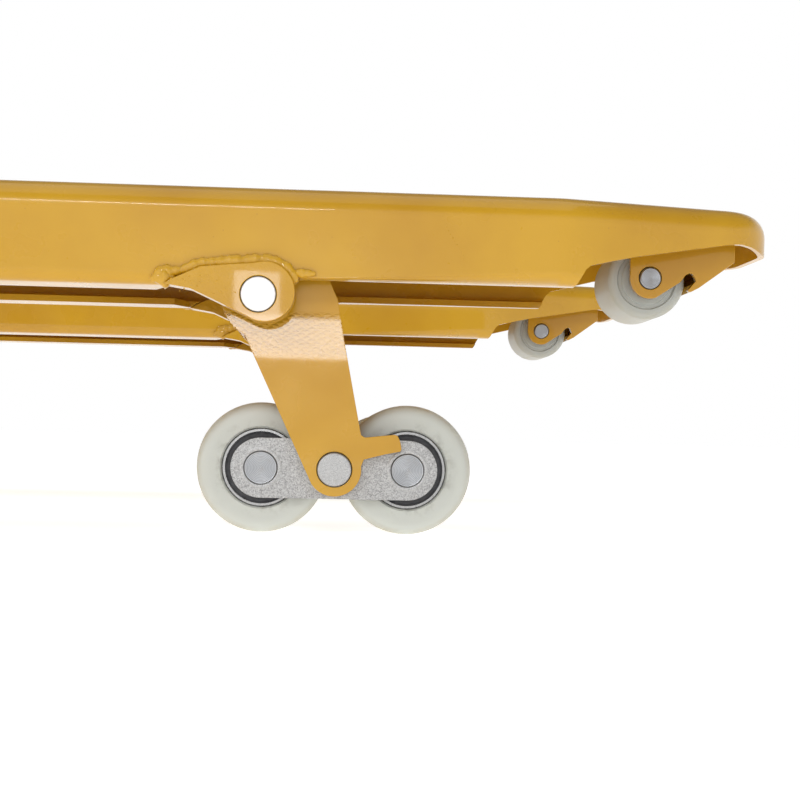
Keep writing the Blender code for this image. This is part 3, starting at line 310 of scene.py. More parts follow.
PAINT = orange_look("orange_paint").material
WELD = orange_look("painted_weld", 0.55).material
NYLON = white_nylon()
# level 0.80 makes a darker copy of the nylon for the guide rollers: painted shade under the fork
# tips
GUIDE_NYLON_SHADED = white_nylon("guide_nylon_shaded", 0.0075, 0.0240, 0.80)
ZINC = speckled_zinc()
PIN_ZINC = speckled_zinc("pin_zinc", 0.32, 0.50)
TURNED = turned_steel()
STEEL = ground_steel()
CHROME = ground_steel("hard_chrome", 0.78, 0.10)
SEAL = black_seal()
ENAMEL = black_enamel()
TYRE = solid_tyre()
GRIP = hand_rubber()
# near-white painted highlight for the end faces of the pivot shafts
GLINT_WHITE = glint_white_end()


# ---- Mesh helpers -------------------------------------------------------------------------
BEAD_STEP = 0.35
BEAD_SIDES = 12
BEAD_FLATNESS = 0.75
BEAD_BLOBS = 130.0
BEAD_LUMPS = 420.0
BEAD_ASIDE = Vector((0.13, 0.97, 0.21))


def piece(name, mesh, looks, body, at=(0.0, 0.0, 0.0), replaced=()):
    """Object that rides on a CAD body, at a place in the row frame."""
    obj = bpy.data.objects.new(name, mesh)
    SCENE.collection.objects.link(obj)
    obj.location = at
    for look in looks:
        mesh.materials.append(look)
    normals = obj.modifiers.new("normals", "WEIGHTED_NORMAL")
    normals.keep_sharp = True
    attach(obj, body)
    if replaced:
        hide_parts(*replaced)
    return obj


def mesh_from(name, shape, angle=35.0):
    """Finished mesh with outward faces, smooth but for its corners."""
    bmesh.ops.recalc_face_normals(shape, faces=shape.faces)
    mesh = bpy.data.meshes.new(name)
    shape.to_mesh(mesh)
    shape.free()
    mesh.shade_smooth()
    mesh.set_sharp_from_angle(angle=math.radians(angle))
    return mesh


def turned(name, profile, steps=96, ring=False):
    """Profile of (radius, y, material index) points turned about local Y."""
    shape = bmesh.new()
    angles = [2 * math.pi * step / steps for step in range(steps)]
    rows = []
    for radius, y, _ in profile:
        turn = angles if radius else [0.0]
        rows.append([shape.verts.new((radius * math.cos(a), y, radius * math.sin(a))) for a in turn])
    count = len(rows) if ring else len(rows) - 1
    for index in range(count):
        first, second = rows[index], rows[(index + 1) % len(rows)]
        for step in range(steps):
            after = (step + 1) % steps
            corners = [first[step % len(first)], first[after % len(first)],
                       second[after % len(second)], second[step % len(second)]]
            face = shape.faces.new(list(dict.fromkeys(corners)))
            face.material_index = profile[index][2]
    return mesh_from(name, shape)


def lathe(name, profile, steps, looks, body, at, replaced=(), ring=False):
    """Piece turned from a profile; a ring's profile closes on itself."""
    piece(name, turned(name, profile, steps, ring), looks, body, at, replaced)


def both_ends(half_profile):
    """Profile from its +Y half, mirrored to the other end."""
    back = [(radius, -y, index) for radius, y, index in reversed(half_profile)]
    for row in range(len(back) - 1):
        back[row] = (*back[row][:2], back[row + 1][2])
    return half_profile + back


def arc(centre, radius, start, end, steps):
    """Points on a circle; the angles are in degrees, from the first axis to the second."""
    turn = [math.radians(start + (end - start) * step / steps) for step in range(steps + 1)]
    return [(centre[0] + radius * math.cos(a), centre[1] + radius * math.sin(a)) for a in turn]


def fillet(centre, radius, steps):
    """Quarter round of profile points, from the end face to the round side."""
    return [(*point, 0) for point in arc(centre, radius, 90, 0, steps)]


def straight(start, end, parts):
    """Points from start to end in equal parts."""
    return [Vector(start).lerp(Vector(end), part / parts) for part in range(parts + 1)]


def bead(name, path, radius, body, seed=0):
    """Weld bead: a ropy tube along a path, its ripples and blobs drawn from noise."""
    shape = bmesh.new()
    points = resampled(path, radius * BEAD_STEP)
    rows = []
    for index, point in enumerate(points):
        ahead = points[min(index + 1, len(points) - 1)]
        behind = points[max(index - 1, 0)]
        along = (ahead - behind).normalized()
        across = along.cross(BEAD_ASIDE).normalized()
        up = along.cross(across)
        ends = min(1.0, (min(index, len(points) - 1 - index) + 0.4) / 4.0)
        wave = 1.0 + 0.10 * math.sin(index * 1.5)
        wave += 0.45 * noise.noise(point * BEAD_BLOBS + Vector((seed, 0.0, 0.0)))
        size = radius * wave * math.sqrt(ends)
        row = []
        for side in range(BEAD_SIDES):
            turn = 2 * math.pi * side / BEAD_SIDES
            lump = 1.0 + 0.16 * noise.noise(point * BEAD_LUMPS + Vector((side, seed, 0.0)))
            offset = across * math.cos(turn) * size * lump
            offset += up * math.sin(turn) * size * lump * BEAD_FLATNESS
            row.append(shape.verts.new(point + offset))
        rows.append(row)
    skin(shape, rows, closed=False)
    piece(name, mesh_from(name, shape, 80.0), [WELD], body)


def skin(shape, rows, closed):
    """Faces between rows of points, with flat ends unless the last row meets the first."""
    pairs = list(zip(rows, rows[1:])) + ([(rows[-1], rows[0])] if closed else [])
    for first, second in pairs:
        for side, corner in enumerate(first):
            after = (side + 1) % len(first)
            shape.faces.new((corner, first[after], second[after], second[side]))
    if not closed:
        shape.faces.new(rows[0])
        shape.faces.new(rows[-1])


def resampled(path, step):
    """Evenly spaced points along a polyline."""
    points = [Vector(path[0])]
    for first, second in zip(path, path[1:]):
        first, second = Vector(first), Vector(second)
        count = max(1, round((second - first).length / step))
        points += [first.lerp(second, part / count) for part in range(1, count + 1)]
    return points


def cut(name, mesh, cutters, rounding=0.0):
    """Mesh less the volume of each cutter, the corners that this leaves rounded."""
    work = bpy.data.objects.new(name, mesh)
    SCENE.collection.objects.link(work)
    guides = []
    for shape in cutters:
        guide = bpy.data.objects.new("cutter", mesh_from("cutter", shape))
        SCENE.collection.objects.link(guide)
        guides.append(guide)
        step = work.modifiers.new("cut", "BOOLEAN")
        step.operation = "DIFFERENCE"
        step.object = guide
        step.solver = "EXACT"
    if rounding:
        round_corners(work, rounding, 2, 38.0).harden_normals = True
    graph = bpy.context.evaluated_depsgraph_get()
    finished = bpy.data.meshes.new_from_object(work.evaluated_get(graph))
    for spare in (work, *guides):
        bpy.data.objects.remove(spare)
    return finished


def round_corners(obj, width, segments, angle):
    rounding = obj.modifiers.new("corners", "BEVEL")
    rounding.width = width
    rounding.segments = segments
    rounding.limit_method = "ANGLE"
    rounding.angle_limit = math.radians(angle)
    return rounding


def prism(outline, low, high, plane="XY"):
    """Flat outline given a thickness; plane XY is extruded along Z, plane XZ along Y."""
    shape = bmesh.new()
    near = [shape.verts.new((x, y, low) if plane == "XY" else (x, low, y)) for x, y in outline]
    face = shape.faces.new(near)
    grown = bmesh.ops.extrude_face_region(shape, geom=[face])
    shift = (0, 0, high - low) if plane == "XY" else (0, high - low, 0)
    verts = [item for item in grown["geom"] if isinstance(item, bmesh.types.BMVert)]
    bmesh.ops.translate(shape, vec=shift, verts=verts)
    return shape


# ---- Forks --------------------------------------------------------------------------------
FORK_WALL = 0.004
TOP_BEND = 0.015
LIP_BEND = 0.008
REAR_DEPTH = 0.058
FRONT_DEPTH = 0.052
REAR_LIP = 0.032
FRONT_LIP = 0.014
NOSE_RADIUS = 0.035
NOSE_HALF = 0.055
TAPER_LENGTH = 0.127
PIVOT = middle("arm_pivot_shaft_right")
PIVOT_X, PIVOT_Z = PIVOT.x, PIVOT.z
STEP_X = PIVOT_X + 0.021
CLEARANCE = 0.0003
SIDE_REACH = 0.1
CORNER_RADIUS = 0.052
ROCKER_SLOT_HALF = 0.015


def fork_shape(back_x, inset, top, drop, bends):
    """Fork-shaped solid about its own centre line, its long edges rounded in fine steps."""
    nose = (TIP_X - NOSE_RADIUS, NOSE_HALF - NOSE_RADIUS)
    half_width = FORK_WIDTH / 2 - inset
    half = arc(nose, NOSE_RADIUS - inset, 0, 80, 14)
    half += arc((TIP_X - TAPER_LENGTH - 0.010, half_width - CORNER_RADIUS), CORNER_RADIUS, 75, 90, 4)
    half += [(back_x, half_width)]
    outline = half + [(x, -y) for x, y in reversed(half[1:])] + [(half[0][0], 0.0)]
    bottom = FORK_TOP - REAR_DEPTH + drop
    shape = prism(clean(outline), bottom, top)
    for cut_x in (STEP_X, STEP_X + 0.002):
        geometry = shape.verts[:] + shape.edges[:] + shape.faces[:]
        bmesh.ops.bisect_plane(shape, geom=geometry, plane_co=(cut_x, 0, 0), plane_no=(1, 0, 0))
    middle_z = (top + bottom) / 2
    for vert in shape.verts:
        if vert.co.z < middle_z and vert.co.x > STEP_X + 0.001:
            vert.co.z += REAR_DEPTH - FRONT_DEPTH
    shape.normal_update()
    for low, radius, steps in ((False, bends[0], 10), (True, bends[1], 6)):
        rim = [edge for edge in shape.edges if rim_edge(edge, middle_z, low, back_x)]
        bmesh.ops.bevel(shape, geom=rim, offset=radius, segments=steps, profile=0.5,
                        affect="EDGES", clamp_overlap=False)
    return shape


def clean(outline):
    """Outline without points that repeat the one before."""
    kept = []
    for point in outline:
        if not kept or math.dist(point, kept[-1]) > 1e-5:
            kept.append(point)
    return kept


def rim_edge(edge, middle_z, low, back_x):
    """True for the long edges between the upper or lower face and the upright sides."""
    first, second = (vert.co for vert in edge.verts)
    if any((co.z > middle_z) == low for co in (first, second)):
        return False
    if abs(first.z - second.z) > 0.01 or max(first.x, second.x) < back_x + 1e-5:
        return False
    upright = sum(abs(face.normal.z) < 0.5 for face in edge.link_faces)
    return upright == 1 and len(edge.link_faces) == 2


def tip_cut():
    """What the fork's rising underside takes from the block, from the tip back."""
    bow = [(0.1266, 0.053), (0.1245, 0.0505), (0.1225, 0.0468), (0.1200, 0.0424),
           (0.1167, 0.0397), (0.1030, 0.0363), (0.0885, 0.0329), (0.0416, 0.0244),
           (0.0300, 0.0222), (0.0220, 0.0218), (0.0145, 0.0229), (0.0057, 0.0259),
           (-0.010, 0.0262)]
    edge = [(TIP_X - back, FORK_TOP - down) for back, down in bow]
    low = FORK_TOP - 1.5 * REAR_DEPTH
    outline = [(edge[0][0], low), (edge[-1][0], low)] + edge[::-1]
    return prism(outline, -SIDE_REACH, SIDE_REACH, "XZ")


def lip_slot(back_x):
    rear, front = FORK_WIDTH / 2 - REAR_LIP, FORK_WIDTH / 2 - FRONT_LIP
    lip_end = PIVOT_X - 0.061
    half = [(TIP_X - TAPER_LENGTH + 0.010, front), (lip_end + 0.008, front), (lip_end, rear),
            (back_x - 0.010, rear)]
    outline = half + [(x, -y) for x, y in reversed(half)]
    return prism(outline, FORK_TOP - 1.5 * REAR_DEPTH, FORK_TOP - REAR_DEPTH / 2)


def gusset_outline(grow=0.0):
    centre = (PIVOT_X + 0.0035, PIVOT_Z + 0.0015)
    boss = arc(centre, 0.017 + grow, -110, 110, 20)
    tail = [(-0.0187, 0.0161 + grow), (-0.0326, 0.0146 + grow), (-0.048, 0.0075 + grow),
            (-0.0529 - grow, 0.0045), (-0.0379, 0.0021 - grow), (-0.0239, -0.0042 - grow)]
    return boss + [(PIVOT_X + x, PIVOT_Z + z) for x, z in tail]


def rocker_slot(back_x):
    """Slot in the heel end of the fork's top, round the rocker's ear."""
    start, end = back_x - 0.010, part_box("rocker")[1].x + 0.0105
    half = ROCKER_SLOT_HALF
    outline = [(start, -half), (end, -half), (end, half), (start, half)]
    return prism(outline, FORK_TOP - half, FORK_TOP + half)


def build_forks():
    back_x = FORK_LOW.x
    block = fork_shape(back_x, 0.0, FORK_TOP, 0.0, (TOP_BEND, LIP_BEND))
    hollow = fork_shape(back_x - 0.010, FORK_WALL, FORK_TOP - FORK_WALL, FORK_WALL,
                        (TOP_BEND - FORK_WALL, LIP_BEND - FORK_WALL))
    notch = prism(gusset_outline(CLEARANCE), -SIDE_REACH, SIDE_REACH, "XZ")
    cutters = [hollow, lip_slot(back_x), tip_cut(), notch, rocker_slot(back_x)]
    finished = cut("fork_work", mesh_from("fork_work", block, 30.0), cutters, 0.0006)
    for side, sign in SIDES:
        piece(f"fork_shell_{side}", finished.copy(), [PAINT], "fork_frame",
              (0.0, sign * FORK_Y, 0.0), (f"fork_{side}",))


build_forks()


# ---- Plates with round holes --------------------------------------------------------------
def flat_plate(name, outline, holes, thickness, width=0.0007):
    """Plate in the XZ plane, centred on Y = 0, its corners rounded; a hole is (x, z, radius)."""
    curve = bpy.data.curves.new(name, "CURVE")
    curve.dimensions = "2D"
    curve.fill_mode = "BOTH"
    curve.extrude = thickness / 2
    for loop in [outline] + [arc((x, z), radius, 0, 360, 64)[:-1] for x, z, radius in holes]:
        spline = curve.splines.new("POLY")
        spline.points.add(len(loop) - 1)
        for point, (x, z) in zip(spline.points, loop):
            point.co = (x, z, 0.0, 1.0)
        spline.use_cyclic_u = True
    guide = bpy.data.objects.new(name, curve)
    SCENE.collection.objects.link(guide)
    graph = bpy.context.evaluated_depsgraph_get()
    shape = bmesh.new()
    shape.from_mesh(guide.evaluated_get(graph).to_mesh())
    bpy.data.objects.remove(guide)
    bmesh.ops.remove_doubles(shape, verts=shape.verts, dist=1e-6)
    bmesh.ops.dissolve_limit(shape, angle_limit=0.002, verts=shape.verts, edges=shape.edges)
    bmesh.ops.rotate(shape, verts=shape.verts, matrix=Matrix.Rotation(math.pi / 2, 3, "X"))
    shape.normal_update()
    rim = [edge for edge in shape.edges if edge.calc_face_angle(0.0) > 1.3
           and abs(edge.verts[0].co.y - edge.verts[1].co.y) < 1e-6]
    bmesh.ops.bevel(shape, geom=rim, offset=width, segments=3, profile=0.5, affect="EDGES",
                    clamp_overlap=True)
    return mesh_from(name, shape)


def local(outline, centre):
    return [(x - centre.x, z - centre.z) for x, z in outline]


# ---- Load arms and their pivots -----------------------------------------------------------
EAR = middle("rod_pin_right")
ARM_PLATE = 0.008
HUB_RADIUS = 0.016
HUB_BORE = 0.0106
SHAFT_RADIUS = 0.0098
SPATTER_PROUD = 0.0006
CREST_RADIUS = 0.0182


def arm_outline():
    foot = arc((PIN.x, PIN.z), 0.0158, 212, 368, 24)
    finger = [(0.0172, 0.0062), (0.0295, 0.0095), (0.0384, 0.0113), (0.0391, 0.0125),
              (0.0389, 0.0145), (0.0381, 0.0178), (0.0368, 0.0204), (0.0351, 0.0212),
              (0.0175, 0.0192), (0.0153, 0.0205), (0.0146, 0.0235)]
    back = arc((PIVOT_X, PIVOT_Z), 0.0225, 150, 246, 14)
    return (foot + [(PIN.x + x, PIN.z + z) for x, z in finger]
            + [(PIVOT_X + 0.0497, PIVOT_Z - 0.0255), (PIVOT_X + 0.045, PIVOT_Z + 0.0007)]
            + arc((EAR.x, EAR.z), 0.0125, -15, 160, 20) + back)


def arm_paint():
    """Orange paint whose upper arm is dimpled where the weld beneath shows through."""
    look = orange_look("arm_paint")
    cross = look.math("MULTIPLY", slanted_wave(look, 0.55), slanted_wave(look, -0.55))
    mask = look.math("MULTIPLY", step_up(look, -0.033),
                     look.math("SUBTRACT", 1.0, step_up(look, -0.008)))
    ragged = look.noise(260.0, 4.0, 0.7)
    look.bump(look.math("MULTIPLY", mask, look.math("MULTIPLY", cross, ragged)), 0.9, 0.0016)
    return look.material


def slanted_wave(look, slope):
    """Ridges in the XZ plane, slightly wandering."""
    line = look.math("ADD", look.along("Z"), look.math("MULTIPLY", look.along("X"), slope))
    wobble = look.math("MULTIPLY", look.noise(180.0, 2.0), 0.004)
    phase = look.math("MULTIPLY", look.math("ADD", line, wobble), 950.0)
    return look.math("ABSOLUTE", look.math("SINE", phase))


def step_up(look, edge):
    """0 below a height and 1 above it."""
    return look.map_range(look.along("Z"), edge - 0.002, edge + 0.002, "SMOOTHSTEP")


def build_arms():
    paint = arm_paint()
    holes = [(0.0, 0.0, 0.0105), (PIN.x - PIVOT_X, PIN.z - PIVOT_Z, 0.01045),
             (EAR.x - PIVOT_X, EAR.z - PIVOT_Z, 0.0063)]
    outline = local(arm_outline(), PIVOT)
    for side, sign in SIDES:
        y = sign * FORK_Y
        body = f"arm_{side}"
        low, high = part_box(f"load_arm_{side}")
        for flank, place in zip(FLANKS, (low.y + ARM_PLATE / 2, high.y - ARM_PLATE / 2)):
            mesh = flat_plate(f"arm_plate_{side}_{flank}", outline, holes, ARM_PLATE)
            node = (f"load_arm_{side}",) if flank == "inner" else ()
            piece(f"arm_plate_{side}_{flank}", mesh, [paint], body,
                  (PIVOT_X, place, PIVOT_Z), node)
        reach = (high.y - low.y) / 2 - ARM_PLATE + 0.0005
        tube = [(HUB_BORE, reach, 0), (HUB_RADIUS, reach, 0), (HUB_RADIUS, -reach, 0),
                (HUB_BORE, -reach, 0)]
        lathe(f"arm_hub_{side}", tube, 64, [PAINT], body, (PIVOT_X, y, PIVOT_Z),
              ring=True)
        for way in (-1, 1):
            ring = [Vector((x, y + way * (reach - 0.001), z))
                    for x, z in arc((PIVOT_X, PIVOT_Z), HUB_RADIUS, 0, 360, 30)]
            bead(f"hub_weld_{side}_{way + 1}", ring, 0.0022, body, seed=way + sign * 3)
        build_pivot(side, sign)


def build_pivot(side, sign):
    """Weld-on gussets and the plated shaft between them."""
    shaft = f"arm_pivot_shaft_{side}"
    reach, _ = half_size(shaft)
    end = [(0.0, reach, 1), (0.0090, reach, 1), (SHAFT_RADIUS, reach - 0.0007, 0),
           (SHAFT_RADIUS, 0.0, 0)]
    # the shaft's end faces and their chamfers take the near-white painted highlight
    lathe(f"pivot_shaft_{side}", both_ends(end), 64, [STEEL, GLINT_WHITE], "fork_frame",
          (PIVOT_X, sign * FORK_Y, PIVOT_Z), (shaft,))
    outline = local(gusset_outline(), PIVOT)
    for flank in FLANKS:
        node = f"pivot_gusset_{side}_{flank}"
        low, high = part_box(node)
        thick = high.y - low.y - 2 * SPATTER_PROUD
        mesh = flat_plate(node, outline, [(0.0, 0.0, 0.01035)], thick, 0.0014)
        piece(f"gusset_{side}_{flank}", mesh, [WELD], "fork_frame",
              (PIVOT_X, (low.y + high.y) / 2, PIVOT_Z), (node,))
        gusset_welds(f"{side}_{flank}", low.y, high.y, sign if flank == "outer" else -sign)


def gusset_welds(name, low_y, high_y, out):
    """Bead over the top of a gusset, a blob at its tail and a short run along the lower lip."""
    face = (high_y if out > 0 else low_y) - out * 0.0050
    crest = [(-0.0600, 0.0060), (-0.0545, 0.0110), (-0.0440, 0.0125), (-0.0326, 0.0168),
             (-0.0187, 0.0178)] + arc((0.0035, 0.0015), CREST_RADIUS, 100, 19, 9)
    path = [Vector((PIVOT_X + x, face, PIVOT_Z + z)) for x, z in crest]
    seed = len(name) + out * 5
    bead(f"gusset_bead_{name}", path, 0.0034, "fork_frame", seed=seed)
    tail, tail_z = face - out * 0.0005, PIVOT_Z + 0.0080
    blob = straight((PIVOT_X - 0.060, tail, tail_z), (PIVOT_X - 0.0465, tail, tail_z), 3)
    bead(f"gusset_blob_{name}", blob, 0.0048, "fork_frame", seed=seed + 7)
    lip, lip_z = face + out * 0.0002, PIVOT_Z + 0.0128
    run = straight((PIVOT_X + 0.020, lip, lip_z), (PIVOT_X + 0.032, lip, lip_z), 2)
    bead(f"gusset_run_{name}", run, 0.0026, "fork_frame", seed=seed + 9)


# ---- Bogies and rollers -------------------------------------------------------------------
BEARING_SEAT = 0.0237
BEARING_BORE = 0.0107
BEARING_DEPTH = 0.0146
ROLLER_ROUND = 0.0075


def stadium(half, radius):
    return arc((-half, 0.0), radius, 90, 270, 28) + arc((half, 0.0), radius, -90, 90, 28)


def build_bogies():
    for side, _ in SIDES:
        rear, front = middle(f"load_axle_{side}_rear"), middle(f"load_axle_{side}_front")
        half = (front.x - rear.x) / 2
        holes = [(-half, 0.0, 0.0102), (0.0, 0.0, 0.0104), (half, 0.0, 0.0102)]
        for flank in FLANKS:
            node = f"link_plate_{side}_{flank}"
            half_thick, half_height = half_size(node)
            mesh = flat_plate(node, stadium(half, half_height), holes, 2 * half_thick, 0.0011)
            piece(f"link_{side}_{flank}", mesh, [ZINC], f"bogie_{side}", middle(node),
                  (node,))
            pin = f"bogie_pin_{side}_{flank}"
            reach, _ = half_size(pin)
            end = [(0.0, reach, 0), (0.0091, reach, 0)]
            end += fillet((0.0091, reach - 0.0008), 0.0008, 3) + [(0.0099, 0.0, 0)]
            lathe(f"bogie_stub_{side}_{flank}", both_ends(end), 64, [PIN_ZINC], f"arm_{side}",
                  middle(pin), (pin,))
        for end, place in zip(ENDS, (rear, front)):
            build_axle(side, end, place)
            build_load_roller(side, end, place)


def build_axle(side, end, place):
    """Axle with turned end faces, crimped round where it leaves the link plates."""
    node = f"load_axle_{side}_{end}"
    reach, _ = half_size(node)
    face = [(0.0, reach - 0.0006, 1), (0.0012, reach - 0.0002, 1), (0.0088, reach - 0.0002, 1),
            (0.0094, reach, 0), (0.0099, reach - 0.0008, 0), (0.0099, 0.0, 0)]
    lathe(f"axle_{side}_{end}", both_ends(face), 64, [PIN_ZINC, TURNED], f"bogie_{side}",
          place, (node,))
    plates = [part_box(f"link_plate_{side}_{flank}") for flank in FLANKS]
    outsides = (min(low.y for low, _ in plates), max(high.y for _, high in plates))
    crimp = [(0.0101, 0.00020), (0.0112, 0.00055), (0.0124, 0.00020), (0.0124, 0.0), (0.0101, 0.0)]
    for index, y in enumerate(outsides):
        out = 2 * index - 1
        ring = [(radius, out * height, 0) for radius, height in crimp]
        lathe(f"crimp_{side}_{end}_{index}", ring, 64, [PIN_ZINC], f"bogie_{side}",
              (place.x, y, place.z), ring=True)


def build_load_roller(side, end, place):
    """Nylon roller, the ball bearing in each end of it and the spacer between them."""
    node = f"load_roller_{side}_{end}"
    half, radius = half_size(node)
    depth = half - BEARING_DEPTH
    face = [(BEARING_SEAT, depth, 0), (BEARING_SEAT, half - 0.0010, 0),
            (BEARING_SEAT + 0.0010, half, 0), (radius - ROLLER_ROUND - 0.001, half, 0)]
    face += fillet((radius - ROLLER_ROUND, half - ROLLER_ROUND), ROLLER_ROUND, 8)
    face += [(radius, 0.0, 0)]
    profile = both_ends(face) + [(0.016, -depth, 0), (0.016, depth, 0)]
    lathe(f"roller_{side}_{end}", profile, 96, [NYLON], node, place, (node,), True)
    back, front = depth + 0.0004, half - 0.0004
    section = [(0.0152, back, 0), (0.0234, back, 0), (0.0234, front - 0.0006, 0),
               (0.0229, front, 0), (0.0216, front, 0), (0.0213, front - 0.0008, 1),
               (0.0206, front - 0.0009, 1), (0.0203, front - 0.0005, 1),
               (0.0150, front - 0.0005, 0), (0.0146, front, 0), (0.0112, front, 0),
               (BEARING_BORE, front - 0.0005, 0), (BEARING_BORE, back, 0)]
    for way in (-1, 1):
        turn = [(r, way * y, look) for r, y, look in section]
        names = (f"bearing_pair_{side}_{end}",) if way < 0 else ()
        lathe(f"bearing_{side}_{end}_{way + 1}", turn, 96, [STEEL, SEAL], node, place,
              names, True)
    spacer = [(BEARING_BORE, depth, 0), (0.0140, depth, 0), (0.0140, -depth, 0),
              (BEARING_BORE, -depth, 0)]
    lathe(f"spacer_{side}_{end}", spacer, 48, [STEEL], node, place, ring=True)


# ---- Entry rollers ------------------------------------------------------------------------
BRACKET_WEB = 0.0268
BRACKET_BOSS = 0.0124
BRACKET_HALF = 0.030


def build_entry():
    """Folded brackets under the tips, with a rounded boss, a notch and a raised front flange."""
    for side, _ in SIDES:
        node = f"entry_bracket_{side}"
        low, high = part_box(node)
        place = middle(f"entry_axle_{side}")
        top, web = high.z - place.z, BRACKET_WEB
        notch = [(web - 0.0082, -0.0020), (web - 0.0052, 0.0022)]
        notch += arc((web - 0.0022, 0.0012), 0.0024, 130, 30, 5)
        notch += [(web + 0.0013, -0.0010), (web - 0.0036, -0.0068), (web - 0.0030, -0.0076),
                  (web - 0.0016, -0.0078), (web + 0.0033, -0.0052)]
        outline = [(low.x - place.x, top)] + arc((0.0, 0.0), BRACKET_BOSS, 180, 288, 20) + notch
        outline += [(web + 0.0252, 0.0110), (web + 0.0252, top)]
        block = flat_plate(node, outline, [(0.0, 0.0, 0.0070)], high.y - low.y, 0.0007)
        inside = [(-BRACKET_HALF, top + 0.010), (-BRACKET_HALF, -BRACKET_HALF),
                  (web, -BRACKET_HALF), (web, -0.0027), (web + 0.0228, 0.0142),
                  (web + 0.0228, top + 0.010)]
        mesh = cut("bracket_work", block, [prism(inside, -BRACKET_HALF, BRACKET_HALF, "XZ")])
        piece(f"bracket_{side}", mesh, [PAINT], "fork_frame", place, (node,))
        entry_roller(side, place)
        for way in (-1, 1):
            y, z = place.y + way * (high.y - low.y) / 2, high.z - 0.0012
            path = straight((place.x - 0.010, y, z), (place.x + 0.038, y, z), 6)
            bead(f"bracket_weld_{side}_{way + 1}", path, 0.0020, "fork_frame", seed=way + 4)


def entry_roller(side, place):
    """Guide roller with a groove in each face, and its axle."""
    roller, axle = f"entry_roller_{side}", f"entry_axle_{side}"
    half, radius = half_size(roller)
    face = [(0.0074, half - 0.001, 0), (0.0084, half, 0), (0.0150, half, 0),
            (0.0156, half - 0.0012, 0), (0.0176, half - 0.0012, 0), (0.0184, half, 0),
            (radius - 0.004, half, 0)]
    face += fillet((radius - 0.0035, half - 0.0035), 0.0035, 6) + [(radius, 0.0, 0)]
    # the guide roller's nylon is darkened as painted shade
    lathe(f"guide_roller_{side}", both_ends(face), 80, [GUIDE_NYLON_SHADED], roller, place,
          (roller,), True)
    reach, _ = half_size(axle)
    end = [(0.0, reach - 0.0007, 0), (0.0008, reach - 0.0002, 0), (0.0058, reach, 0),
           (0.0065, reach - 0.0007, 0), (0.0065, 0.0, 0)]
    lathe(f"guide_axle_{side}", both_ends(end), 48, [TURNED], "fork_frame", place, (axle,))


build_arms()
build_bogies()
build_entry()


# ---- The rest of the truck ----------------------------------------------------------------
def smooth_by_angle(limit):
    """Geometry nodes that shade faces smooth except across edges sharper than the limit."""
    group = bpy.data.node_groups.new("smooth_by_angle", "GeometryNodeTree")
    group.interface.new_socket("Geometry", in_out="INPUT", socket_type="NodeSocketGeometry")
    group.interface.new_socket("Geometry", in_out="OUTPUT", socket_type="NodeSocketGeometry")
    start, end = group.nodes.new("NodeGroupInput"), group.nodes.new("NodeGroupOutput")
    faces = group.nodes.new("GeometryNodeSetShadeSmooth")
    edges = group.nodes.new("GeometryNodeSetShadeSmooth")
    edges.domain = "EDGE"
    edges.inputs["Shade Smooth"].default_value = False
    angle = group.nodes.new("GeometryNodeInputMeshEdgeAngle")
    sharp = group.nodes.new("FunctionNodeCompare")
    sharp.operation = "GREATER_THAN"
    sharp.inputs["B"].default_value = math.radians(limit)
    for source, target in ((start.outputs[0], faces.inputs["Geometry"]),
                           (faces.outputs[0], edges.inputs["Geometry"]),
                           (angle.outputs["Unsigned Angle"], sharp.inputs["A"]),
                           (sharp.outputs[0], edges.inputs["Selection"]),
                           (edges.outputs[0], end.inputs[0])):
        group.links.new(source, target)
    return group


SMOOTH = smooth_by_angle(35.0)
TYRE_DEPTH = 0.018
RIBS = 5
RIB_RADIUS = 0.037
LOOP_FOOT_BEND = 0.030
LOOP_TOP_BEND = 0.045
GRIP_RIB = 0.0005


def dress(node, look, width, segments=2):
    """Finish of a CAD node that stays: its material, rounded corners and smooth round faces."""
    obj = NODES[node]
    obj.data.materials.clear()
    obj.data.materials.append(look)
    normals = obj.data.attributes.get("custom_normal")
    if normals:
        obj.data.attributes.remove(normals)
    weld = obj.modifiers.new("weld", "WELD")
    weld.merge_threshold = 0.00002
    if width:
        round_corners(obj, width, segments, 40.0)
    smooth = obj.modifiers.new("smooth", "NODES")
    smooth.node_group = SMOOTH


def dress_remaining():
    for node in ("frame_front_plate", "frame_cheek_right", "frame_cheek_left", "frame_top_plate",
                 "rocker"):
        dress(node, PAINT, 0.0012)
    for node in ("pump_body", "crosshead", "handle_pole"):
        dress(node, ENAMEL, 0.0008)
    for node in ("handle_pivot_pin", "release_lever", "rod_pin_right", "rod_pin_left",
                 "push_rod_right", "push_rod_left"):
        dress(node, ZINC, 0.0004)
    for node in ("steer_axle", "steering_thrust_bearing"):
        dress(node, STEEL, 0.0004)
    dress("ram", CHROME, 0.0)
    dress("pump_plunger", CHROME, 0.0)
    dress("control_lever", GRIP, 0.0015, 3)


def build_steering_wheels():
    for side, _ in SIDES:
        hub, tyre, body = f"steer_hub_{side}", f"steer_tyre_{side}", f"steer_wheel_{side}"
        place = middle(tyre)
        half, radius = half_size(tyre)
        rim = radius - TYRE_DEPTH
        face = [(rim + 0.0002, half - 0.0010, 0), (rim + 0.0012, half, 0)]
        face += fillet((radius - 0.007, half - 0.007), 0.007, 8) + [(radius, 0.0, 0)]
        lathe(f"tyre_{side}", both_ends(face), 128, [TYRE], body, place, (tyre,), True)
        web = [(0.0108, half, 0), (0.0205, half, 0), (0.0218, half - 0.0012, 0),
               (0.0232, half - 0.0080, 0), (rim - 0.0105, half - 0.0085, 0),
               (rim - 0.0080, half - 0.0015, 0), (rim - 0.0070, half - 0.0008, 0),
               (rim - 0.0004, half - 0.0010, 0)]
        lathe(f"wheel_{side}", both_ends(web), 96, [ENAMEL], body, place, (hub,), True)
        for step in range(RIBS):
            turn = 2 * math.pi * step / RIBS
            rib_at = (place.x + RIB_RADIUS * math.cos(turn), place.y,
                      place.z + RIB_RADIUS * math.sin(turn))
            rib(f"wheel_rib_{side}_{step}", rib_at, turn, half - 0.004, body)


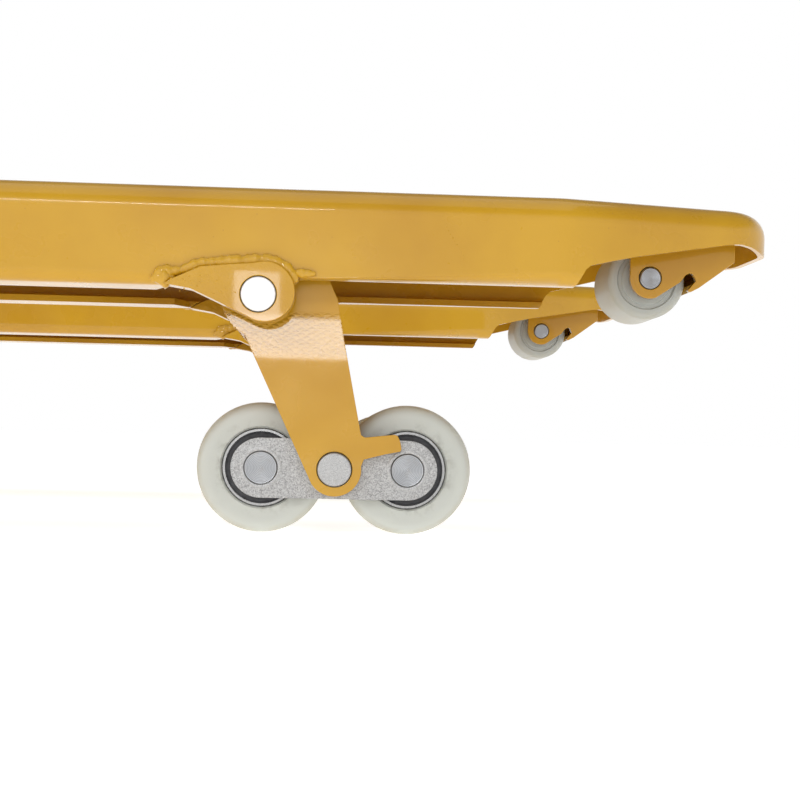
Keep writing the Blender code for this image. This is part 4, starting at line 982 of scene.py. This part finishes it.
def rib(name, at, turn, half, body):
    """Spoke-like stiffening rib that stands out of both faces of a wheel's web."""
    outline = [(-0.016, -0.0022), (0.016, -0.0028), (0.016, 0.0028), (-0.016, 0.0022)]
    mesh = flat_plate(name, outline, [], 2 * half, 0.0008)
    obj = piece(name, mesh, [ENAMEL], body)
    obj.matrix_world = Matrix.Translation(at) @ Matrix.Rotation(-turn, 4, "Y")


def build_loop():
    """Handle loop as bent tube, with a ribbed rubber grip over its top bar."""
    low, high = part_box("handle_loop")
    radius = (high.x - low.x) / 2 - 0.0004
    x = middle("handle_loop").x
    wide, bottom, top = high.y - radius, low.z + radius, high.z - radius
    right = arc((0.050, bottom + LOOP_FOOT_BEND), LOOP_FOOT_BEND, -90, -14, 10)
    right += arc((wide - LOOP_TOP_BEND, top - LOOP_TOP_BEND), LOOP_TOP_BEND, -10, 90, 14)
    points = right + [(-y, z) for y, z in reversed(right)]
    sweep("loop_tube", [Vector((x, y, z)) for y, z in points], radius - 0.0012, ENAMEL, True,
          replaced=("handle_loop",))
    sweep("loop_grip", straight((x, -0.050, top), (x, 0.050, top), 60), radius, GRIP, False,
          ribs=GRIP_RIB)


def sweep(name, path, radius, look, closed, ribs=0.0, replaced=()):
    """Round section along a path in the YZ plane, optionally ribbed."""
    shape = bmesh.new()
    sides, rows = 20, []
    across = Vector((1.0, 0.0, 0.0))
    for index, point in enumerate(path):
        ahead = path[(index + 1) % len(path)] if closed else path[min(index + 1, len(path) - 1)]
        behind = path[index - 1] if closed else path[max(index - 1, 0)]
        up = (ahead - behind).normalized().cross(across)
        size = radius - (ribs if index % 4 == 0 else 0.0)
        rows.append([shape.verts.new(point + across * math.cos(t) * size + up * math.sin(t) * size)
                     for t in [2 * math.pi * side / sides for side in range(sides)]])
    skin(shape, rows, closed)
    piece(name, mesh_from(name, shape, 50.0), [look], "handle", replaced=replaced)


def build_frame_welds():
    """Beads where the frame head's plates meet the forks and each other."""
    front_low, front_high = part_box("frame_front_plate")
    seam = FORK_TOP + 0.0008
    inner_side = FORK_Y - FORK_WIDTH / 2
    outer_side = FORK_Y + FORK_WIDTH / 2
    for side, sign in SIDES:
        low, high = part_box(f"frame_cheek_{side}")
        for index, y in enumerate((low.y, high.y)):
            if abs(y) > inner_side + 0.002:
                path = straight((high.x - 0.002, y, seam), (high.x - 0.068, y, seam), 6)
                bead(f"cheek_weld_{side}_{index}", path, 0.0026, "fork_frame", seed=index + 11)
        start, end = sign * (inner_side + TOP_BEND), sign * (outer_side - TOP_BEND)
        for index, x in enumerate((front_low.x, front_high.x)):
            path = straight((x, start, seam), (x, end, seam), 8)
            bead(f"heel_weld_{side}_{index}", path, 0.0028, "fork_frame", seed=index + sign)
        x, y = front_low.x - 0.0006, sign * (abs(high.y + low.y) / 2 + 0.0045)
        path = straight((x, y, FORK_TOP + 0.03), (x, y, FORK_TOP + 0.22), 10)
        bead(f"cheek_corner_{side}", path, 0.0024, "fork_frame", seed=sign + 20)
    low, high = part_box("frame_top_plate")
    x, z = high.x + 0.0002, low.z - 0.0006
    path = straight((x, low.y + 0.01, z), (x, high.y - 0.01, z), 12)
    bead("top_plate_weld", path, 0.0026, "fork_frame", seed=31)


def build_spatter():
    """Droplets of weld spatter under the paint on the right fork's outer face."""
    draw = random.Random(7)
    shape = bmesh.new()
    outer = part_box("fork_right")[0].y
    spots = []
    for step in range(13):
        part = step / 12
        spots.append((PIN.x + 0.0580 + 0.0130 * part + draw.uniform(-0.0006, 0.0006),
                      FORK_TOP - 0.0150 - 0.0240 * part, draw.uniform(0.0003, 0.0006)))
    for _ in range(26):
        spots.append((PIVOT_X + draw.uniform(-0.050, -0.012), PIVOT_Z + draw.uniform(-0.001, 0.011),
                      draw.uniform(0.0003, 0.0007)))
    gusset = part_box("pivot_gusset_right_outer")[0].y + SPATTER_PROUD
    for x, z, size in spots:
        y = gusset if z < FORK_TOP - 0.045 else outer
        ball = bmesh.ops.create_icosphere(shape, subdivisions=2, radius=size)
        bmesh.ops.scale(shape, vec=(1.0, 0.55, 1.0), verts=ball["verts"])
        bmesh.ops.translate(shape, vec=(x, y + size * 0.15, z), verts=ball["verts"])
    piece("weld_spatter", mesh_from("weld_spatter", shape, 80.0), [PAINT], "fork_frame")


def build_fittings():
    """Snap rings on the steering axle and the pump unit's filler plug."""
    place = middle("steer_axle")
    ring = [(0.0102, 0.0009, 0), (0.0126, 0.0009, 0), (0.0130, 0.0, 0), (0.0126, -0.0004, 0),
            (0.0102, -0.0004, 0)]
    for (side, sign), end in zip(SIDES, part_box("steer_axle")):
        lathe(f"snap_ring_{side}", ring, 48, [STEEL], "pump_unit",
              (place.x, end.y - sign * 0.0022, place.z), ring=True)
    plug = [(0.0, 0.0045, 0), (0.0030, 0.0045, 0), (0.0034, 0.0030, 0), (0.0080, 0.0030, 0),
            (0.0085, 0.0, 0), (0.0, 0.0, 0)]
    obj = piece("filler_plug", turned("filler_plug", plug, 48), [PIN_ZINC], "pump_unit")
    at = (frame_joint("steer").x + 0.034, 0.0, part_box("pump_body")[1].z - 0.0128)
    obj.matrix_world = Matrix.Translation(at) @ Matrix.Rotation(math.radians(82), 4, "X")


def build_control_bracket():
    """Two ears on top of the pole and the pin that the control lever turns on."""
    hinge = frame_joint("control_lever_tilt")
    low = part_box("handle_pole")[1].z - 0.012
    outline = [(-0.0075, low - hinge.z), (0.0075, low - hinge.z)]
    outline += arc((0.0, 0.0), 0.0065, 0, 180, 16)
    for index, y in enumerate((-0.0100, 0.0100)):
        mesh = flat_plate("control_ear", outline, [], 0.0026, 0.0005)
        piece(f"control_ear_{index}", mesh, [ENAMEL], "handle", (hinge.x, y, hinge.z))
    end = [(0.0, 0.0135, 0), (0.0036, 0.0135, 0), (0.0042, 0.0128, 0), (0.0042, 0.0, 0)]
    lathe("control_pin", both_ends(end), 32, [PIN_ZINC], "handle", hinge)


dress_remaining()
build_steering_wheels()
build_loop()
build_frame_welds()
build_spatter()
build_fittings()
build_control_bracket()


# ---- Floor, light and camera --------------------------------------------------------------
def build_stage():
    """White floor that glows a little, so that it stays bright under the truck."""
    look = Look("floor_white", roughness=0.9)
    look.colour(look.ramp(look.noise(3.0, 2.0), ((0.2, 0.88), (0.8, 0.91))))
    look.shader.inputs["Specular IOR Level"].default_value = 0.0
    look.shader.inputs["Emission Color"].default_value = (1.0, 1.0, 1.0, 1.0)
    look.shader.inputs["Emission Strength"].default_value = 0.68
    shape = bmesh.new()
    bmesh.ops.create_grid(shape, x_segments=1, y_segments=1, size=30.0)
    mesh = bpy.data.meshes.new("floor")
    shape.to_mesh(mesh)
    shape.free()
    mesh.materials.append(look.material)
    obj = bpy.data.objects.new("floor", mesh)
    obj.location.z = -0.0006
    SCENE.collection.objects.link(obj)


def area_light(name, place, target, size, power):
    lamp = bpy.data.lights.new(name, "AREA")
    lamp.shape = "RECTANGLE"
    lamp.size, lamp.size_y = size
    lamp.energy = power
    obj = bpy.data.objects.new(name, lamp)
    SCENE.collection.objects.link(obj)
    obj.location = place
    aim = Vector(target) - Vector(place)
    obj.rotation_euler = aim.to_track_quat("-Z", "Y").to_euler()


def build_light():
    """Even light from level directions, fading overhead, and four lamps on the right side."""
    world = bpy.data.worlds.new("studio")
    SCENE.world = world
    world.use_nodes = True
    tree = world.node_tree
    background = tree.nodes["Background"]
    background.inputs["Color"].default_value = (1.0, 1.0, 1.0, 1.0)
    place = tree.nodes.new("ShaderNodeTexCoord")
    split = tree.nodes.new("ShaderNodeSeparateXYZ")
    level = tree.nodes.new("ShaderNodeMapRange")
    level.interpolation_type = "SMOOTHSTEP"
    for name, value in (("From Min", 0.34), ("From Max", 0.60), ("To Min", 1.0), ("To Max", 0.20)):
        level.inputs[name].default_value = value
    tree.links.new(place.outputs["Generated"], split.inputs[0])
    tree.links.new(split.outputs["Z"], level.inputs["Value"])
    tree.links.new(level.outputs["Result"], background.inputs["Strength"])
    x, y = PIN.x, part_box("fork_right")[0].y
    area_light("top_box", (x - 0.5, -0.4, 2.6), (x - 0.5, 0.0, 0.0), (3.4, 2.6), 20.0)
    area_light("edge_strip", (x - 1.75, y - 2.2, 1.30), (x - 1.2, y, 0.20), (3.6, 0.06), 22.0)
    area_light("arm_strip", (x - 0.11, y - 2.3, 0.272), (x - 0.11, y, 0.272), (0.34, 0.09), 1.7)
    area_light("pin_patch", (x - 0.166, y - 2.3, 0.361), (x - 0.166, y, 0.361), (0.10, 0.10), 0.30)


def build_camera():
    """Viewpoint level with the rollers, close to the right fork's tip."""
    yaw, pitch, roll = (math.radians(angle) for angle in (3.55, -0.453, 1.282))
    place = Vector((PIN.x - 0.00394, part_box("fork_right")[0].y - 0.80306, 0.0594))
    ahead = Vector((math.sin(yaw) * math.cos(pitch), math.cos(yaw) * math.cos(pitch),
                    math.sin(pitch)))
    level = Vector((math.cos(yaw), -math.sin(yaw), 0.0))
    above = level.cross(ahead)
    right = math.cos(roll) * level + math.sin(roll) * above
    up = -math.sin(roll) * level + math.cos(roll) * above
    lens = bpy.data.cameras.new("camera")
    lens.sensor_width = 36.0
    lens.lens = 63.58
    lens.shift_x = -0.0196
    lens.shift_y = 0.0597
    lens.clip_start = 0.02
    obj = bpy.data.objects.new("camera", lens)
    SCENE.collection.objects.link(obj)
    turn = Matrix((right, up, -ahead)).transposed().to_4x4()
    obj.matrix_world = Matrix.Translation(place) @ turn
    SCENE.camera = obj


build_stage()
build_light()
build_camera()
SCENE.view_settings.view_transform = "Standard"
